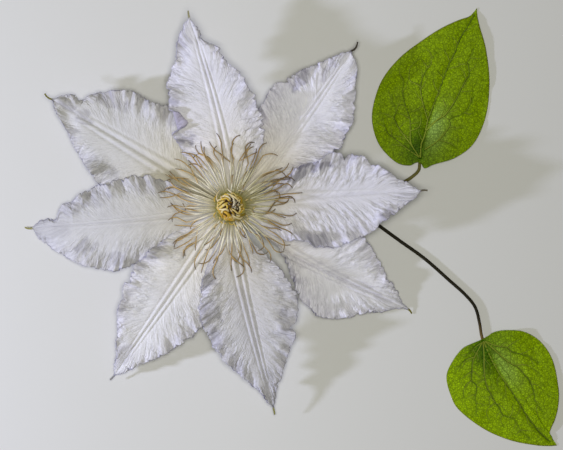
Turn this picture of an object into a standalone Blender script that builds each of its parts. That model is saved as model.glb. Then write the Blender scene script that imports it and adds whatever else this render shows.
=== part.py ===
"""A cut clematis flower lying face up on a surface.

Eight tepals in overlapping layers stand out from a short receptacle, with a whorl of stamens and a
crown of styles over it. The flower's stalk drops behind the tepals, bends and lies along the surface
to a swollen stem node, where the stalks of two leaves leave it.

Frame: metres, +Z up. The origin lies on the surface, at the foot of the flower's stalk and under the
middle of the flower. +X runs along the lying stem towards the leaves.
"""

import math
import random
from collections import namedtuple

import bmesh
import bpy
from mathutils import Matrix, Vector

MM = 0.001
CLEARANCE = 0.3 * MM  # kept between neighbours that touch on the real flower
QUARTER_TURN = math.pi / 2

# Receptacle: a stepped knob that carries the tepals round its core and the stamens on its rim.
CORE_RADIUS = 5.0 * MM
RIM_RADIUS = 6.2 * MM
FOOT_RADIUS = 1.9 * MM
FOOT_Z = 7.8 * MM
CORE_LOW_Z = 8.7 * MM
RIM_LOW_Z = 17.5 * MM
RIM_TOP_Z = 18.9 * MM
RIM_EDGE_Z = 18.3 * MM
RIM_TOP_RADIUS = 5.4 * MM
CUP_RADIUS = 3.4 * MM
CUP_Z = 8.1 * MM
RECEPTACLE_SIDES = 20

# Tepals: thin blades, each from the core to a drawn-out point.
TEPAL_THICKNESS = 0.75 * MM
TEPAL_ROWS = 18
TEPAL_START = CORE_RADIUS + CLEARANCE
CLAW_HALF_WIDTH = 2.2 * MM
POINT_HALF_WIDTH = 0.45 * MM
TEPAL_COLUMNS = 6  # from the midrib to each margin
RIB_SPREAD = 2.7 * MM  # from the groove on the midrib to the groove beyond the ridge beside it
RIB_HEIGHT = 0.45 * MM
RIB_RELIEF = {0: -0.25, 1: 1.0, 2: -0.25}  # of the rib height, for each column of the blade
RUFFLE_HEIGHT = 1.3 * MM
RUFFLE_LENGTHS = (15 * MM, 26 * MM)
SCALLOP_DEPTH = 0.45 * MM
SCALLOP_LENGTHS = (7 * MM, 16 * MM)

# Stamens: filaments with long anthers, in a whorl round the styles.
STAMEN_COUNT = 76
STAMEN_ROOT_RADIUS = 5.1 * MM
STAMEN_ROOT_Z = 17.9 * MM
STAMEN_REACH = (19.0 * MM, 28.5 * MM)
STAMEN_TIERS = 4  # neighbours crest at different heights, so they cross without touching much
STAMEN_CREST_Z = 20.1 * MM
STAMEN_TIER_STEP = 1.25 * MM
STAMEN_SWERVE = 0.16  # radians that a stamen may stray to either side of its heading
FILAMENT_HALF_WIDTH = 0.36 * MM
ANTHER_HALF_WIDTH = 0.62 * MM
ANTHER_SHARE = 0.42  # of the stamen's length

# Styles: a low dome with a swirl of curled tips.
DOME_RADIUS = 3.9 * MM
DOME_Z = RIM_TOP_Z + CLEARANCE
DOME_HEIGHT = 2.6 * MM
DOME_SIDES = 16
STYLE_COUNT = 24
STYLE_HALF_WIDTH = 0.45 * MM
STYLE_ROOT_Z = DOME_Z + 1.0 * MM
STYLE_SWIRL = 0.9  # radians that each style turns round the crown
OUTER_STYLE_ROOT = 2.9 * MM
OUTER_STYLE_REACH = (6.3 * MM, 7.6 * MM)
OUTER_STYLE_TOP = 23.1 * MM
INNER_STYLE_ROOT = 1.9 * MM
INNER_STYLE_REACH = (4.3 * MM, 5.4 * MM)
INNER_STYLE_TOP = 24.3 * MM

# Stalk: the flower's stalk, the stem node and the two leaf stalks.
STALK_RADIUS = 1.5 * MM
PETIOLE_RADIUS = 0.62 * MM
STALK_SIDES = 10
PETIOLE_SIDES = 8

# Leaves
LEAF_THICKNESS = 0.75 * MM
LEAF_RINGS = 5
LEAF_HUB = 8.0 * MM  # centre of the blade's fan of facets, ahead of the leaf stalk's end

# One side of a tepal: its greatest half width, where along the length it comes, and how quickly the
# outline opens before it and closes after it.
Side = namedtuple("Side", "width peak rise fall")
# A tepal: heading in degrees from +X, its length from the flower's middle, the height of its claw and
# of its point, how late it droops or lifts, how much it falls per mm to the left, how far its midrib
# bows to the left, and its two sides.
Tepal = namedtuple("Tepal", "name heading length claw_z point_z droop slant bow left right")

TEPALS = (
    Tepal("tepal_top", 102.4, 79.4, 16.6, 20.0, 2.0, 0.12, -2.8,
          Side(16.2, 0.45, 1.3, 1.0), Side(20.0, 0.38, 1.1, 1.35)),
    Tepal("tepal_upper_right", 52.4, 82.8, 12.2, 9.0, 3.0, 0.0, -2.0,
          Side(15.8, 0.53, 1.5, 1.55), Side(20.0, 0.56, 1.5, 1.2)),
    Tepal("tepal_right", 4.8, 78.3, 16.6, 19.0, 2.0, 0.0, 1.0,
          Side(17.7, 0.57, 1.6, 1.5), Side(19.4, 0.48, 0.9, 1.2)),
    Tepal("tepal_lower_right", -29.9, 83.9, 12.2, 0.4, 2.2, 0.0, -4.0,
          Side(18.0, 0.50, 1.4, 1.5), Side(20.1, 0.60, 3.9, 1.7)),
    Tepal("tepal_bottom", -78.0, 84.6, 16.6, 5.0, 3.0, 0.0, -2.0,
          Side(18.2, 0.47, 2.1, 1.6), Side(20.7, 0.50, 1.1, 1.45)),
    Tepal("tepal_lower_left", -124.7, 84.2, 14.4, 3.0, 3.0, 0.05, 0.2,
          Side(18.2, 0.50, 1.2, 1.25), Side(18.2, 0.50, 1.1, 1.35)),
    Tepal("tepal_left", -174.0, 82.8, 12.0, 0.4, 4.0, 0.05, 1.5,
          Side(20.5, 0.58, 1.4, 1.0), Side(16.4, 0.44, 1.6, 1.2)),
    Tepal("tepal_upper_left", 149.0, 86.6, 9.4, 11.0, 6.0, 0.07, 0.0,
          Side(19.3, 0.52, 1.3, 1.4), Side(22.0, 0.50, 1.2, 1.25)),
)

# A leaf: where its stalk ends and its heading, its length to the tip, heights of the base and the tip,
# how much the blade arches and its sides droop, how far one lobe at the base lifts and on which side
# (+1 left, -1 right), how far the midrib bows to the left, and its outline in mm along and to the left.
Leaf = namedtuple("Leaf", "name base heading length base_z tip_z arch sag lift lift_side bow outline")

LEAVES = (
    Leaf("leaf_upper", (75.4, 18.8), 69.3, 65.0, 2.75, 0.9, 0.8, 2.6, 0.8, -1, 3.0, (
        (65.0, 0.0), (61.0, 1.5), (57.8, 5.2), (51.9, 10.9), (44.2, 16.5), (35.6, 21.8),
        (25.5, 25.2), (15.7, 25.3), (7.5, 23.1), (0.0, 17.3), (-4.1, 9.0), (-3.7, 3.3),
        (-1.5, 0.9), (-1.2, -0.9), (-2.4, -3.2), (0.3, -6.0), (5.8, -13.0), (14.1, -18.0),
        (26.2, -18.6), (39.1, -15.1), (50.6, -9.3), (57.9, -4.0), (62.0, -1.3))),
    Leaf("leaf_lower", (100.8, -53.6), -53.9, 51.0, 2.75, 0.9, 0.8, 2.6, 0.7, 1, -3.0, (
        (51.2, -0.7), (49.3, -0.6), (46.3, -0.4), (44.6, 0.8), (41.9, 5.2), (38.4, 9.2),
        (33.3, 13.1), (22.9, 17.9), (14.1, 18.5), (7.0, 15.7), (2.3, 10.7), (-0.3, 6.0),
        (-0.6, 2.4), (-1.1, -0.9), (-2.0, -4.7), (-2.5, -8.6), (-0.9, -14.2), (2.6, -20.0),
        (9.4, -23.1), (16.7, -24.0), (28.7, -20.4), (38.4, -14.6), (45.9, -7.7), (49.6, -3.2))),
)

# Routes of the stalks, in mm.
FLOWER_STALK_ROUTE = (
    (0.0, 0.0, 7.4), (0.0, 0.0, 6.9), (-0.3, 0.0, 6.4), (-1.9, 0.0, 5.6), (-3.6, 0.0, 4.4), (-4.1, 0.0, 2.9),
    (-3.2, 0.0, 1.5), (-1.0, 0.0, 1.05), (3.0, 0.0, 1.05), (12.0, 0.2, 1.1), (23.0, 0.6, 1.1),
    (36.0, 0.3, 1.3), (48.0, -0.4, 1.6), (55.0, -1.0, 1.6))
NODE_ROUTE = ((44.5, -0.1, 1.6), (47.0, -0.3, 1.8), (49.5, -0.5, 1.9), (52.0, -0.7, 1.8), (54.0, -0.9, 1.6))
NODE_RADII = (1.3, 2.0, 2.4, 2.1, 1.3)
LONG_PETIOLE_ROUTE = (
    (49.5, -1.0, 1.9), (53.5, -3.4, 1.6), (58.8, -7.2, 1.1), (67.6, -13.6, 0.9), (77.6, -20.8, 0.9),
    (87.6, -29.6, 0.9), (93.6, -35.0, 0.9), (97.6, -40.0, 0.9), (99.3, -46.0, 0.9),
    (100.1, -51.0, 0.95), (101.0, -54.2, 1.0))
SHORT_PETIOLE_ROUTE = (
    (49.5, 0.2, 1.9), (54.0, 2.6, 1.5), (61.5, 6.2, 1.1), (68.8, 9.8, 0.9), (72.6, 12.2, 0.9),
    (75.0, 14.6, 0.9), (75.4, 17.2, 0.95), (75.6, 20.0, 1.0))


def clear_scene():
    for thing in list(bpy.data.objects):
        bpy.data.objects.remove(thing, do_unlink=True)


def make_material(name, color, roughness):
    material = bpy.data.materials.new(name)
    material.use_nodes = True
    shader = material.node_tree.nodes["Principled BSDF"]
    shader.inputs["Base Color"].default_value = (*color, 1.0)
    shader.inputs["Roughness"].default_value = roughness
    return material


def make_object(name, bm, material):
    """Turn a bmesh into a named object of the scene, with its faces pointing out."""
    bmesh.ops.recalc_face_normals(bm, faces=bm.faces)
    if bm.calc_volume(signed=True) < 0:
        bmesh.ops.reverse_faces(bm, faces=bm.faces)
    mesh = bpy.data.meshes.new(name)
    bm.to_mesh(mesh)
    bm.free()
    mesh.materials.append(material)
    mesh.shade_smooth()
    mesh.set_sharp_from_angle(angle=math.radians(50))
    thing = bpy.data.objects.new(name, mesh)
    bpy.context.scene.collection.objects.link(thing)
    return thing


def smoothstep(low, high, value):
    share = min(max((value - low) / (high - low), 0.0), 1.0)
    return share * share * (3.0 - 2.0 * share)


def spline_point(points, position):
    """A point of the Catmull-Rom spline through points; position counts points from the first one."""
    index = min(int(position), len(points) - 2)
    share = position - index
    before = points[max(index - 1, 0)]
    start = points[index]
    end = points[index + 1]
    after = points[min(index + 2, len(points) - 1)]
    bend = 2 * before - 5 * start + 4 * end - after
    twist = 3 * start - before - 3 * end + after
    return start + 0.5 * share * ((end - before) + share * (bend + share * twist))


def seeded_waves(seed, count, shortest, longest):
    """A wavy function of a length: sines of random length and phase, about -1 to 1 in all."""
    draw = random.Random(seed)
    waves = []
    for _ in range(count):
        waves.append((2 * math.pi / draw.uniform(shortest, longest), draw.uniform(0, 2 * math.pi)))
    return lambda along: sum(math.sin(rate * along + phase) for rate, phase in waves) / count


# ---------------------------------------------------------------------------- blades


def blade(name, bm, place, thickness, material):
    """Close a flat mesh in x and y into a thin blade whose upper face goes where place(x, y) says.

    The mesh is split into triangles before it gets its lower face, so both faces split alike.
    """
    bmesh.ops.triangulate(bm, faces=bm.faces, quad_method="FIXED")
    upper = list(bm.verts)
    flat = bm.verts[:] + bm.edges[:] + bm.faces[:]
    lower = bmesh.ops.extrude_face_region(bm, geom=flat, use_keep_orig=True)["geom"]
    spots = {vert: place(vert.co.x, vert.co.y) for vert in upper}
    for item in lower:
        if isinstance(item, bmesh.types.BMVert):
            item.co = place(item.co.x, item.co.y) - Vector((0.0, 0.0, thickness))
    for vert, spot in spots.items():
        vert.co = spot
    return make_object(name, bm, material)


def half_width(side, share):
    """Half width of a tepal in mm at a share of its length."""
    if share < side.peak:
        return side.width * math.sin(QUARTER_TURN * share / side.peak) ** side.rise
    return side.width * math.cos(QUARTER_TURN * (share - side.peak) / (1 - side.peak)) ** side.fall


def column_offset(column, rib, edge):
    """Distance from the midrib of a column, counted from the midrib: the first three follow the rib."""
    if column <= 2:
        return rib * column / 2
    return rib + (edge - rib) * (column - 2) / (TEPAL_COLUMNS - 2)


def rib_height(column, share):
    """The midrib lies in a groove with a ridge on each side of it."""
    relief = RIB_RELIEF.get(column, 0.0)
    return RIB_HEIGHT * relief * smoothstep(0.06, 0.2, share) * (1 - smoothstep(0.8, 0.97, share))


def make_tepal(spec, material):
    """A blade with a ridged midrib, a scalloped outline and waved margins."""
    length = spec.length * MM
    scallops = {side: seeded_waves(f"{spec.name} outline {side}", 3, *SCALLOP_LENGTHS) for side in (1, -1)}
    ruffles = {side: seeded_waves(f"{spec.name} ruffle {side}", 2, *RUFFLE_LENGTHS) for side in (1, -1)}
    sides = {1: spec.left, -1: spec.right}
    turn = Matrix.Rotation(math.radians(spec.heading), 3, "Z")

    def place(row, column):
        side = 1 if column >= 0 else -1
        column = round(abs(column))
        along = TEPAL_START + row * (length - TEPAL_START)
        share = along / length
        bow = spec.bow * MM * math.sin(math.pi * share ** 0.7)
        free = smoothstep(0.12, 0.4, share) * (1 - smoothstep(0.9, 1.0, share))
        edge = half_width(sides[side], share) * MM + SCALLOP_DEPTH * scallops[side](along) * free
        edge = max(edge, CLAW_HALF_WIDTH * (1 - smoothstep(0.1, 0.3, share)), POINT_HALF_WIDTH)
        edge -= side * bow
        rib = min(RIB_SPREAD * (1 - 0.75 * share), 0.4 * edge)
        offset = column_offset(column, rib, edge)
        waved = smoothstep(0.3, 0.75, share) * (1 - smoothstep(0.88, 1.0, share))
        height = (spec.claw_z + (spec.point_z - spec.claw_z) * share ** spec.droop) * MM
        slanted = smoothstep(0.15, 0.4, share) * (1 - smoothstep(0.85, 1.0, share))
        height -= spec.slant * side * offset * slanted
        height += RUFFLE_HEIGHT * ruffles[side](along) * (offset / max(edge, MM)) ** 2 * waved
        height += rib_height(column, share)
        return turn @ Vector((along, bow + side * offset, height + TEPAL_THICKNESS / 2))

    bm = bmesh.new()
    bmesh.ops.create_grid(bm, x_segments=TEPAL_ROWS, y_segments=2 * TEPAL_COLUMNS, size=1.0)
    for vert in bm.verts:
        vert.co.x = (vert.co.x + 1) / 2
        vert.co.y = vert.co.y * TEPAL_COLUMNS
    return blade(spec.name, bm, place, TEPAL_THICKNESS, material)


def leaf_height(spec, along, left):
    """Height of a leaf's upper face in mm: arched lengthwise, drooping to its sides until it lies on the
    surface, and creased on the midrib."""
    share = min(max(along / spec.length, 0.0), 1.0)
    midrib = spec.bow * math.sin(math.pi * share)
    height = spec.base_z + (spec.tip_z - spec.base_z) * share
    height += spec.arch * math.sin(math.pi * share) ** 0.8
    height -= spec.sag * ((left - midrib) / 22.0) ** 2
    height -= 0.7 * math.exp(-(((left - midrib) / 2.5) ** 2)) * smoothstep(0.05, 0.2, share)
    lobe = math.exp(-(((along - 4.0) / 9.0) ** 2))
    height += spec.lift * lobe * smoothstep(2.0, 11.0, spec.lift_side * left)
    height += 0.5 * math.sin(along / 4.2 + left / 7.0) * smoothstep(8.0, 20.0, abs(left))
    return max(height, LEAF_THICKNESS / MM)


def make_leaf(spec, material):
    """A heart-shaped blade: a fan of facets from a hub on the midrib out to the outline."""
    outline = [Vector(point) for point in spec.outline]
    outline.append(outline[0])
    around = 2 * (len(outline) - 1)
    hub = Vector((LEAF_HUB / MM, 0.0))
    base = Vector((*spec.base, 0.0))
    turn = Matrix.Rotation(math.radians(spec.heading), 3, "Z")

    def place(x, y):
        reach = math.hypot(x, y)
        position = (math.atan2(y, x) / (2 * math.pi)) % 1.0 * (len(outline) - 1)
        spot = hub.lerp(spline_point(outline, position), min(reach, 1.0)) if reach > 1e-6 else hub
        height = leaf_height(spec, spot.x, spot.y)
        return (base + turn @ Vector((spot.x, spot.y, height))) * MM

    bm = bmesh.new()
    bmesh.ops.create_circle(bm, cap_ends=True, cap_tris=True, segments=around, radius=1.0)
    spokes = [edge for edge in bm.edges if min(vert.co.length for vert in edge.verts) < 0.01]
    bmesh.ops.subdivide_edges(bm, edges=spokes, cuts=LEAF_RINGS - 1)
    first = min(bm.verts, key=lambda vert: (Vector((1.0, 0.0, 0.0)) - vert.co).length)
    start = math.atan2(first.co.y, first.co.x)
    bmesh.ops.rotate(bm, verts=bm.verts, matrix=Matrix.Rotation(-start, 3, "Z"))
    return blade(spec.name, bm, place, LEAF_THICKNESS, material)


# ---------------------------------------------------------------------------- rods


def rod(route, widths, depths, sides, across):
    """A closed rod along route. widths lie along the direction across, depths square to it."""
    bm = bmesh.new()
    last = len(route) - 1
    bmesh.ops.create_cone(bm, cap_ends=True, segments=sides, radius1=1.0, radius2=1.0, depth=last)
    tall = [edge for edge in bm.edges if abs(edge.verts[0].co.z - edge.verts[1].co.z) > 0.5]
    bmesh.ops.subdivide_edges(bm, edges=tall, cuts=last - 1)
    for vert in bm.verts:
        station = round(vert.co.z + last / 2)
        ahead = (route[min(station + 1, last)] - route[max(station - 1, 0)]).normalized()
        flat = (across - across.dot(ahead) * ahead).normalized()
        up = ahead.cross(flat)
        vert.co = route[station] + flat * vert.co.x * widths[station] + up * vert.co.y * depths[station]
    return bm


def fuse(main, parts):
    """Join parts into main with one union, then drop them."""
    group = bpy.data.collections.new(f"{main.name}_parts")
    bpy.context.scene.collection.children.link(group)
    for part in parts:
        group.objects.link(part)
    union = main.modifiers.new("union", "BOOLEAN")
    union.operation = "UNION"
    union.operand_type = "COLLECTION"
    union.collection = group
    union.solver = "MANIFOLD"
    with bpy.context.temp_override(object=main, active_object=main):
        bpy.ops.object.modifier_apply(modifier=union.name)
    for part in parts:
        bpy.data.objects.remove(part, do_unlink=True)
    bpy.data.collections.remove(group)
    keep_outer_shell(main.data)


def keep_outer_shell(mesh):
    """Fill the hollows that a union sealed, by dropping every shell but the largest."""
    bm = bmesh.new()
    bm.from_mesh(mesh)
    bmesh.ops.triangulate(bm, faces=bm.faces)
    shells = []
    waiting = set(bm.faces)
    while waiting:
        shell = {waiting.pop()}
        edge_of_shell = list(shell)
        while edge_of_shell:
            face = edge_of_shell.pop()
            for neighbour in (other for edge in face.edges for other in edge.link_faces):
                if neighbour in waiting:
                    waiting.remove(neighbour)
                    shell.add(neighbour)
                    edge_of_shell.append(neighbour)
        shells.append(shell)
    shells.sort(key=lambda shell: sum(face.calc_area() for face in shell))
    inner = [face for shell in shells[:-1] for face in shell]
    bmesh.ops.delete(bm, geom=inner, context="FACES")
    bm.to_mesh(mesh)
    bm.free()


def turned(profile, sides):
    """A solid turned round +Z from (radius, height) points that start and end on the axis."""
    bm = bmesh.new()
    verts = [bm.verts.new((radius, 0.0, height)) for radius, height in profile]
    edges = [bm.edges.new(pair) for pair in zip(verts, verts[1:])]
    bmesh.ops.spin(bm, geom=verts + edges, cent=(0, 0, 0), axis=(0, 0, 1), angle=2 * math.pi,
                   steps=sides, use_merge=True)
    bmesh.ops.remove_doubles(bm, verts=bm.verts, dist=1e-7)
    return bm


def make_stamens(material):
    """The receptacle with its whorl of stamens: root sunk in the rim, filament, then a wider anther."""
    profile = (
        (0.0, FOOT_Z), (FOOT_RADIUS, FOOT_Z), (CUP_RADIUS, CUP_Z), (CORE_RADIUS, CORE_LOW_Z),
        (CORE_RADIUS, RIM_LOW_Z), (RIM_RADIUS, RIM_LOW_Z), (RIM_RADIUS, RIM_EDGE_Z),
        (RIM_TOP_RADIUS, RIM_TOP_Z), (0.0, RIM_TOP_Z))
    main = make_object("stamens", turned(profile, RECEPTACLE_SIDES), material)
    draw = random.Random("stamens")
    shares = (0.0, 0.16, 0.4, 1 - ANTHER_SHARE, 0.84, 1.0)
    thin, wide = FILAMENT_HALF_WIDTH, ANTHER_HALF_WIDTH
    widths = (thin, thin, thin, wide, wide, thin)
    depths = (thin, thin, thin, 0.75 * wide, 0.75 * wide, thin)
    parts = []
    for number in range(STAMEN_COUNT):
        azimuth = 2 * math.pi * (number + draw.uniform(-0.35, 0.35)) / STAMEN_COUNT
        low, high = STAMEN_REACH
        reach = low + (high - low) * draw.random() ** 0.6
        root = STAMEN_ROOT_RADIUS + draw.uniform(-0.5, 0.5) * MM
        swerve = draw.uniform(-STAMEN_SWERVE, STAMEN_SWERVE)
        tier = number % STAMEN_TIERS
        crest = STAMEN_CREST_Z + STAMEN_TIER_STEP * tier + draw.uniform(-0.3, 0.3) * MM
        tip = crest + draw.uniform(-1.0, 0.8) * MM * (0.4 + 0.3 * tier)
        route = []
        for share in shares:
            out = root + (reach - root) * share
            turn = azimuth + swerve * share ** 1.5
            rise = smoothstep(0.0, 0.45, share)
            height = STAMEN_ROOT_Z + (crest - STAMEN_ROOT_Z) * rise + (tip - crest) * share ** 2
            route.append(Vector((out * math.cos(turn), out * math.sin(turn), height)))
        side = Vector((-math.sin(azimuth), math.cos(azimuth), 0.0))
        bm = rod(route, widths, depths, 4, side)
        parts.append(make_object(f"stamen_{number}", bm, material))
    fuse(main, parts)
    return main


def make_pistil(material):
    """The crown of styles: a low dome with tips that swirl up and curl outwards."""
    profile = [(0.0, DOME_Z)]
    for step in range(4):
        turn = QUARTER_TURN * step / 4
        profile.append((DOME_RADIUS * math.cos(turn), DOME_Z + DOME_HEIGHT * math.sin(turn)))
    profile.append((0.0, DOME_Z + DOME_HEIGHT))
    main = make_object("pistil", turned(profile, DOME_SIDES), material)
    draw = random.Random("styles")
    parts = []
    for number in range(STYLE_COUNT):
        azimuth = 2 * math.pi * (number + draw.uniform(-0.2, 0.2)) / STYLE_COUNT
        outer = number % 2
        root = OUTER_STYLE_ROOT if outer else INNER_STYLE_ROOT
        reach = draw.uniform(*(OUTER_STYLE_REACH if outer else INNER_STYLE_REACH))
        top = (OUTER_STYLE_TOP if outer else INNER_STYLE_TOP) + draw.uniform(-0.3, 0.3) * MM
        route = []
        for step in range(6):
            share = step / 5
            out = root + (reach - root) * share ** 1.6
            turn = azimuth + STYLE_SWIRL * share
            rise = math.sin(QUARTER_TURN * min(1.25 * share, 1.3))
            height = STYLE_ROOT_Z + (top - STYLE_ROOT_Z) * rise
            route.append(Vector((out * math.cos(turn), out * math.sin(turn), height)))
        sizes = [STYLE_HALF_WIDTH * size for size in (1.0, 1.0, 1.0, 0.95, 0.85, 0.7)]
        side = Vector((-math.sin(azimuth), math.cos(azimuth), 0.0))
        parts.append(make_object(f"style_{number}", rod(route, sizes, sizes, 4, side), material))
    fuse(main, parts)
    return main


def stalk_rod(name, points, radii, count, sides, across, material):
    """A rod along the spline through points in mm, flattened where it lies on the surface."""
    points = [Vector(point) for point in points]
    route = []
    sizes = []
    for step in range(count + 1):
        position = step / count * (len(points) - 1)
        route.append(spline_point(points, position) * MM)
        sizes.append(radii[0] + (radii[1] - radii[0]) * step / count)
    bm = rod(route, sizes, sizes, sides, across)
    for vert in bm.verts:
        vert.co.z = max(vert.co.z, 0.0)
    return make_object(name, bm, material)


def make_stalk(material):
    """The flower's stalk, the swollen stem node and both leaf stalks, grown as one piece."""
    up = Vector((0.0, 0.0, 1.0))
    along_y = Vector((0.0, 1.0, 0.0))
    main = stalk_rod("stalk", FLOWER_STALK_ROUTE, (STALK_RADIUS, STALK_RADIUS), 36, STALK_SIDES,
                     along_y, material)
    node_route = [Vector(point) * MM for point in NODE_ROUTE]
    node_sizes = [radius * MM for radius in NODE_RADII]
    node_bm = rod(node_route, node_sizes, node_sizes, STALK_SIDES, along_y)
    for vert in node_bm.verts:
        vert.co.z = max(vert.co.z, 0.0)
    parts = [make_object("stem_node", node_bm, material)]
    for name, route in (("long_petiole", LONG_PETIOLE_ROUTE), ("short_petiole", SHORT_PETIOLE_ROUTE)):
        radii = (1.25 * PETIOLE_RADIUS, PETIOLE_RADIUS)
        parts.append(stalk_rod(name, route, radii, 2 * len(route), PETIOLE_SIDES, up, material))
    fuse(main, parts)
    return main


def main():
    clear_scene()
    white = make_material("tepal_white", (0.72, 0.71, 0.76), 0.55)
    cream = make_material("stamen_cream", (0.55, 0.45, 0.28), 0.6)
    yellow = make_material("style_yellow", (0.45, 0.33, 0.06), 0.55)
    brown = make_material("stalk_brown", (0.09, 0.07, 0.03), 0.5)
    green = make_material("leaf_green", (0.12, 0.20, 0.01), 0.45)
    for spec in TEPALS:
        make_tepal(spec, white)
    make_stamens(cream)
    make_pistil(yellow)
    make_stalk(brown)
    for spec in LEAVES:
        make_leaf(spec, green)


main()
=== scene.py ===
"""Looks of a cut clematis flower lying face up, built over its plain solids.

Each plain solid is replaced by a finer piece of the same form: frilled and veined tepals, thread-like
stamens, a swirl of styles, a grooved stalk and two net-veined leaves. Lengths in the tables are in mm
and angles in degrees; objects are in metres, +Z up, with +X along the lying stem.
"""

import math
import random
from collections import namedtuple
from functools import partial

import bmesh
import bpy
from mathutils import Matrix, Vector, noise


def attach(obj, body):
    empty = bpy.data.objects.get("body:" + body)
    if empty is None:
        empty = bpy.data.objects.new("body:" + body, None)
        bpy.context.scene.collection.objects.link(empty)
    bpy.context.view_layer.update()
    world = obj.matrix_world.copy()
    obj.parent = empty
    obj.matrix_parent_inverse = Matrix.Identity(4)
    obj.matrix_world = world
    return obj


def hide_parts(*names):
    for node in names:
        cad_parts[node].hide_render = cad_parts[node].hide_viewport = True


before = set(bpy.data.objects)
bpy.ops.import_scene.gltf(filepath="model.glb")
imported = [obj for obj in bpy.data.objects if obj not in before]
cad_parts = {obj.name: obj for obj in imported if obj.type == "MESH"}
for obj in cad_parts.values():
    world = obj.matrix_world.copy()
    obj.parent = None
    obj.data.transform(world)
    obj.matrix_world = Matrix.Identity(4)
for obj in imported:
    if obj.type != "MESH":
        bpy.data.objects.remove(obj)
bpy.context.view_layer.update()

bl_info = {
    "name": "Clematis flower",
    "version": (1, 0, 0),
    "blender": (4, 5, 0),
    "location": "3D View > Sidebar > Clematis",
    "description": "Builds the fine pieces of a cut clematis flower over its plain solids",
    "category": "Add Mesh",
}

MM = 0.001
CLEARANCE = 0.3
QUARTER_TURN = math.pi / 2
UP = Vector((0.0, 0.0, 1.0))
BODY = "root"


def linear(hex_code):
    """The linear colour of an sRGB hex value."""
    channels = [int(hex_code[start:start + 2], 16) / 255 for start in (0, 2, 4)]
    return tuple(c / 12.92 if c <= 0.04045 else ((c + 0.055) / 1.055) ** 2.4 for c in channels)


def colour_property(name, description, hex_code):
    """A colour that a user can change, given as sRGB hex."""
    return bpy.props.FloatVectorProperty(
        name=name, description=description, default=linear(hex_code), size=3, min=0.0, max=1.0,
        subtype="COLOR")


def length_property(name, description, millimetres):
    """A length that a user can change, given in mm."""
    return bpy.props.FloatProperty(
        name=name, description=description, default=millimetres * MM, min=0.0, unit="LENGTH",
        subtype="DISTANCE")


# ---------------------------------------------------------------------------- settings


class TepalSettings(bpy.types.PropertyGroup):
    sheet: length_property("Sheet", "Thickness of a tepal", 0.4)
    frill: length_property("Frill", "Height of the waves along the margins", 2.6)
    crinkle: length_property("Crinkle", "Height of the fine creases that run to the margins", 0.2)
    white: colour_property("White", "Main colour of the blade", "ECEBF2")
    cream: colour_property("Cream", "Colour at the base of the blade", "E8E0CA")
    lavender: colour_property("Lavender", "Tint towards the margins", "E4E2EC")
    edge: colour_property("Edge", "Thin line along the margins", "8683A2")
    # Stain: the colour of patches that are partly dried skin and partly painted shade in folds, pockets and
    # troughs.
    stain: colour_property("Stain", "Greyer, more violet patches of dried skin", "A5A2AF")
    back: colour_property("Back", "Colour of the underside", "A9A2B4")


class StamenSettings(bpy.types.PropertyGroup):
    count: bpy.props.IntProperty(name="Count", description="Number of stamens", default=108, min=8)
    filament: length_property("Filament", "Width of a filament", 0.66)
    anther: length_property("Anther", "Width of an anther", 0.52)
    cream: colour_property("Filament colour", "Colour of the filaments", "FCF6E4")
    # Olive and brown also paint shade: on one flank of each stamen and over the side of the whorl away from
    # the lamp.
    olive: colour_property("Base colour", "Colour at the foot of the filaments", "A8A05A")
    tan: colour_property("Anther colour", "Colour of the anthers", "E2C07C")
    brown: colour_property("Tip colour", "Colour of the oldest anthers and of the tips", "45300F")


class StyleSettings(bpy.types.PropertyGroup):
    olive: colour_property("Olive", "Colour of the youngest styles, low down", "77741F")
    # Mustard is also the painted shade on the sides of every style.
    mustard: colour_property("Mustard", "Colour of the oldest styles", "C29218")
    yellow: colour_property("Yellow", "Colour of the ripe styles", "EACB4A")
    pale: colour_property("Pale", "Colour of the silky styles", "F3EACB")
    dark: colour_property("Dark", "Colour of the hollow in the middle", "40290F")


class StalkSettings(bpy.types.PropertyGroup):
    brown: colour_property("Brown", "Colour of the long leaf stalk", "211D0C")
    olive: colour_property("Olive", "Colour of the short leaf stalk and of young growth", "6B6633")
    tan: colour_property("Tan", "Colour where a leaf stalk meets its leaf", "6E5A30")


class LeafSettings(bpy.types.PropertyGroup):
    sheet: length_property("Sheet", "Thickness of a leaf", 0.3)
    green: colour_property("Green", "Main colour of the blade", "87A600")
    # Dark is painted shade beside the veins, near the stalk and beside the midrib; light is the painted lit
    # half of each vein.
    dark: colour_property("Dark", "Colour beside the veins and near the stalk", "2A5400")
    light: colour_property("Light", "Colour of the veins", "C2D048")
    # Painted sheen: a pale reflection of the lamp drawn into the colour of the blade near the base.
    painted_sheen: colour_property("Bloom", "Waxy bloom near the base", "9CBE66")
    rim: colour_property("Rim", "Reddish line round the blade", "7A5A1C")


class StageSettings(bpy.types.PropertyGroup):
    surface: colour_property("Surface", "Colour of the surface", "E2E2E1")
    lamp: bpy.props.FloatProperty(
        name="Lamp", description="Power of the low lamp", default=2.5, unit="POWER")
    panel: bpy.props.FloatProperty(
        name="Panel", description="Power of the panel overhead", default=8.7, unit="POWER")
    ambient: bpy.props.FloatProperty(
        name="Ambient", description="Strength of the light all round", default=0.07)
    lamp_height: bpy.props.FloatProperty(
        name="Lamp elevation", description="Angle of the lamp above the surface",
        default=math.radians(22.5), subtype="ANGLE", unit="ROTATION")
    lens: bpy.props.FloatProperty(name="Lens", description="Focal length in mm", default=300.0)


class ClematisSettings(bpy.types.PropertyGroup):
    tepals: bpy.props.PointerProperty(type=TepalSettings)
    stamens: bpy.props.PointerProperty(type=StamenSettings)
    styles: bpy.props.PointerProperty(type=StyleSettings)
    stalk: bpy.props.PointerProperty(type=StalkSettings)
    leaves: bpy.props.PointerProperty(type=LeafSettings)
    stage: bpy.props.PointerProperty(type=StageSettings)


# ---------------------------------------------------------------------------- shared helpers


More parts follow.
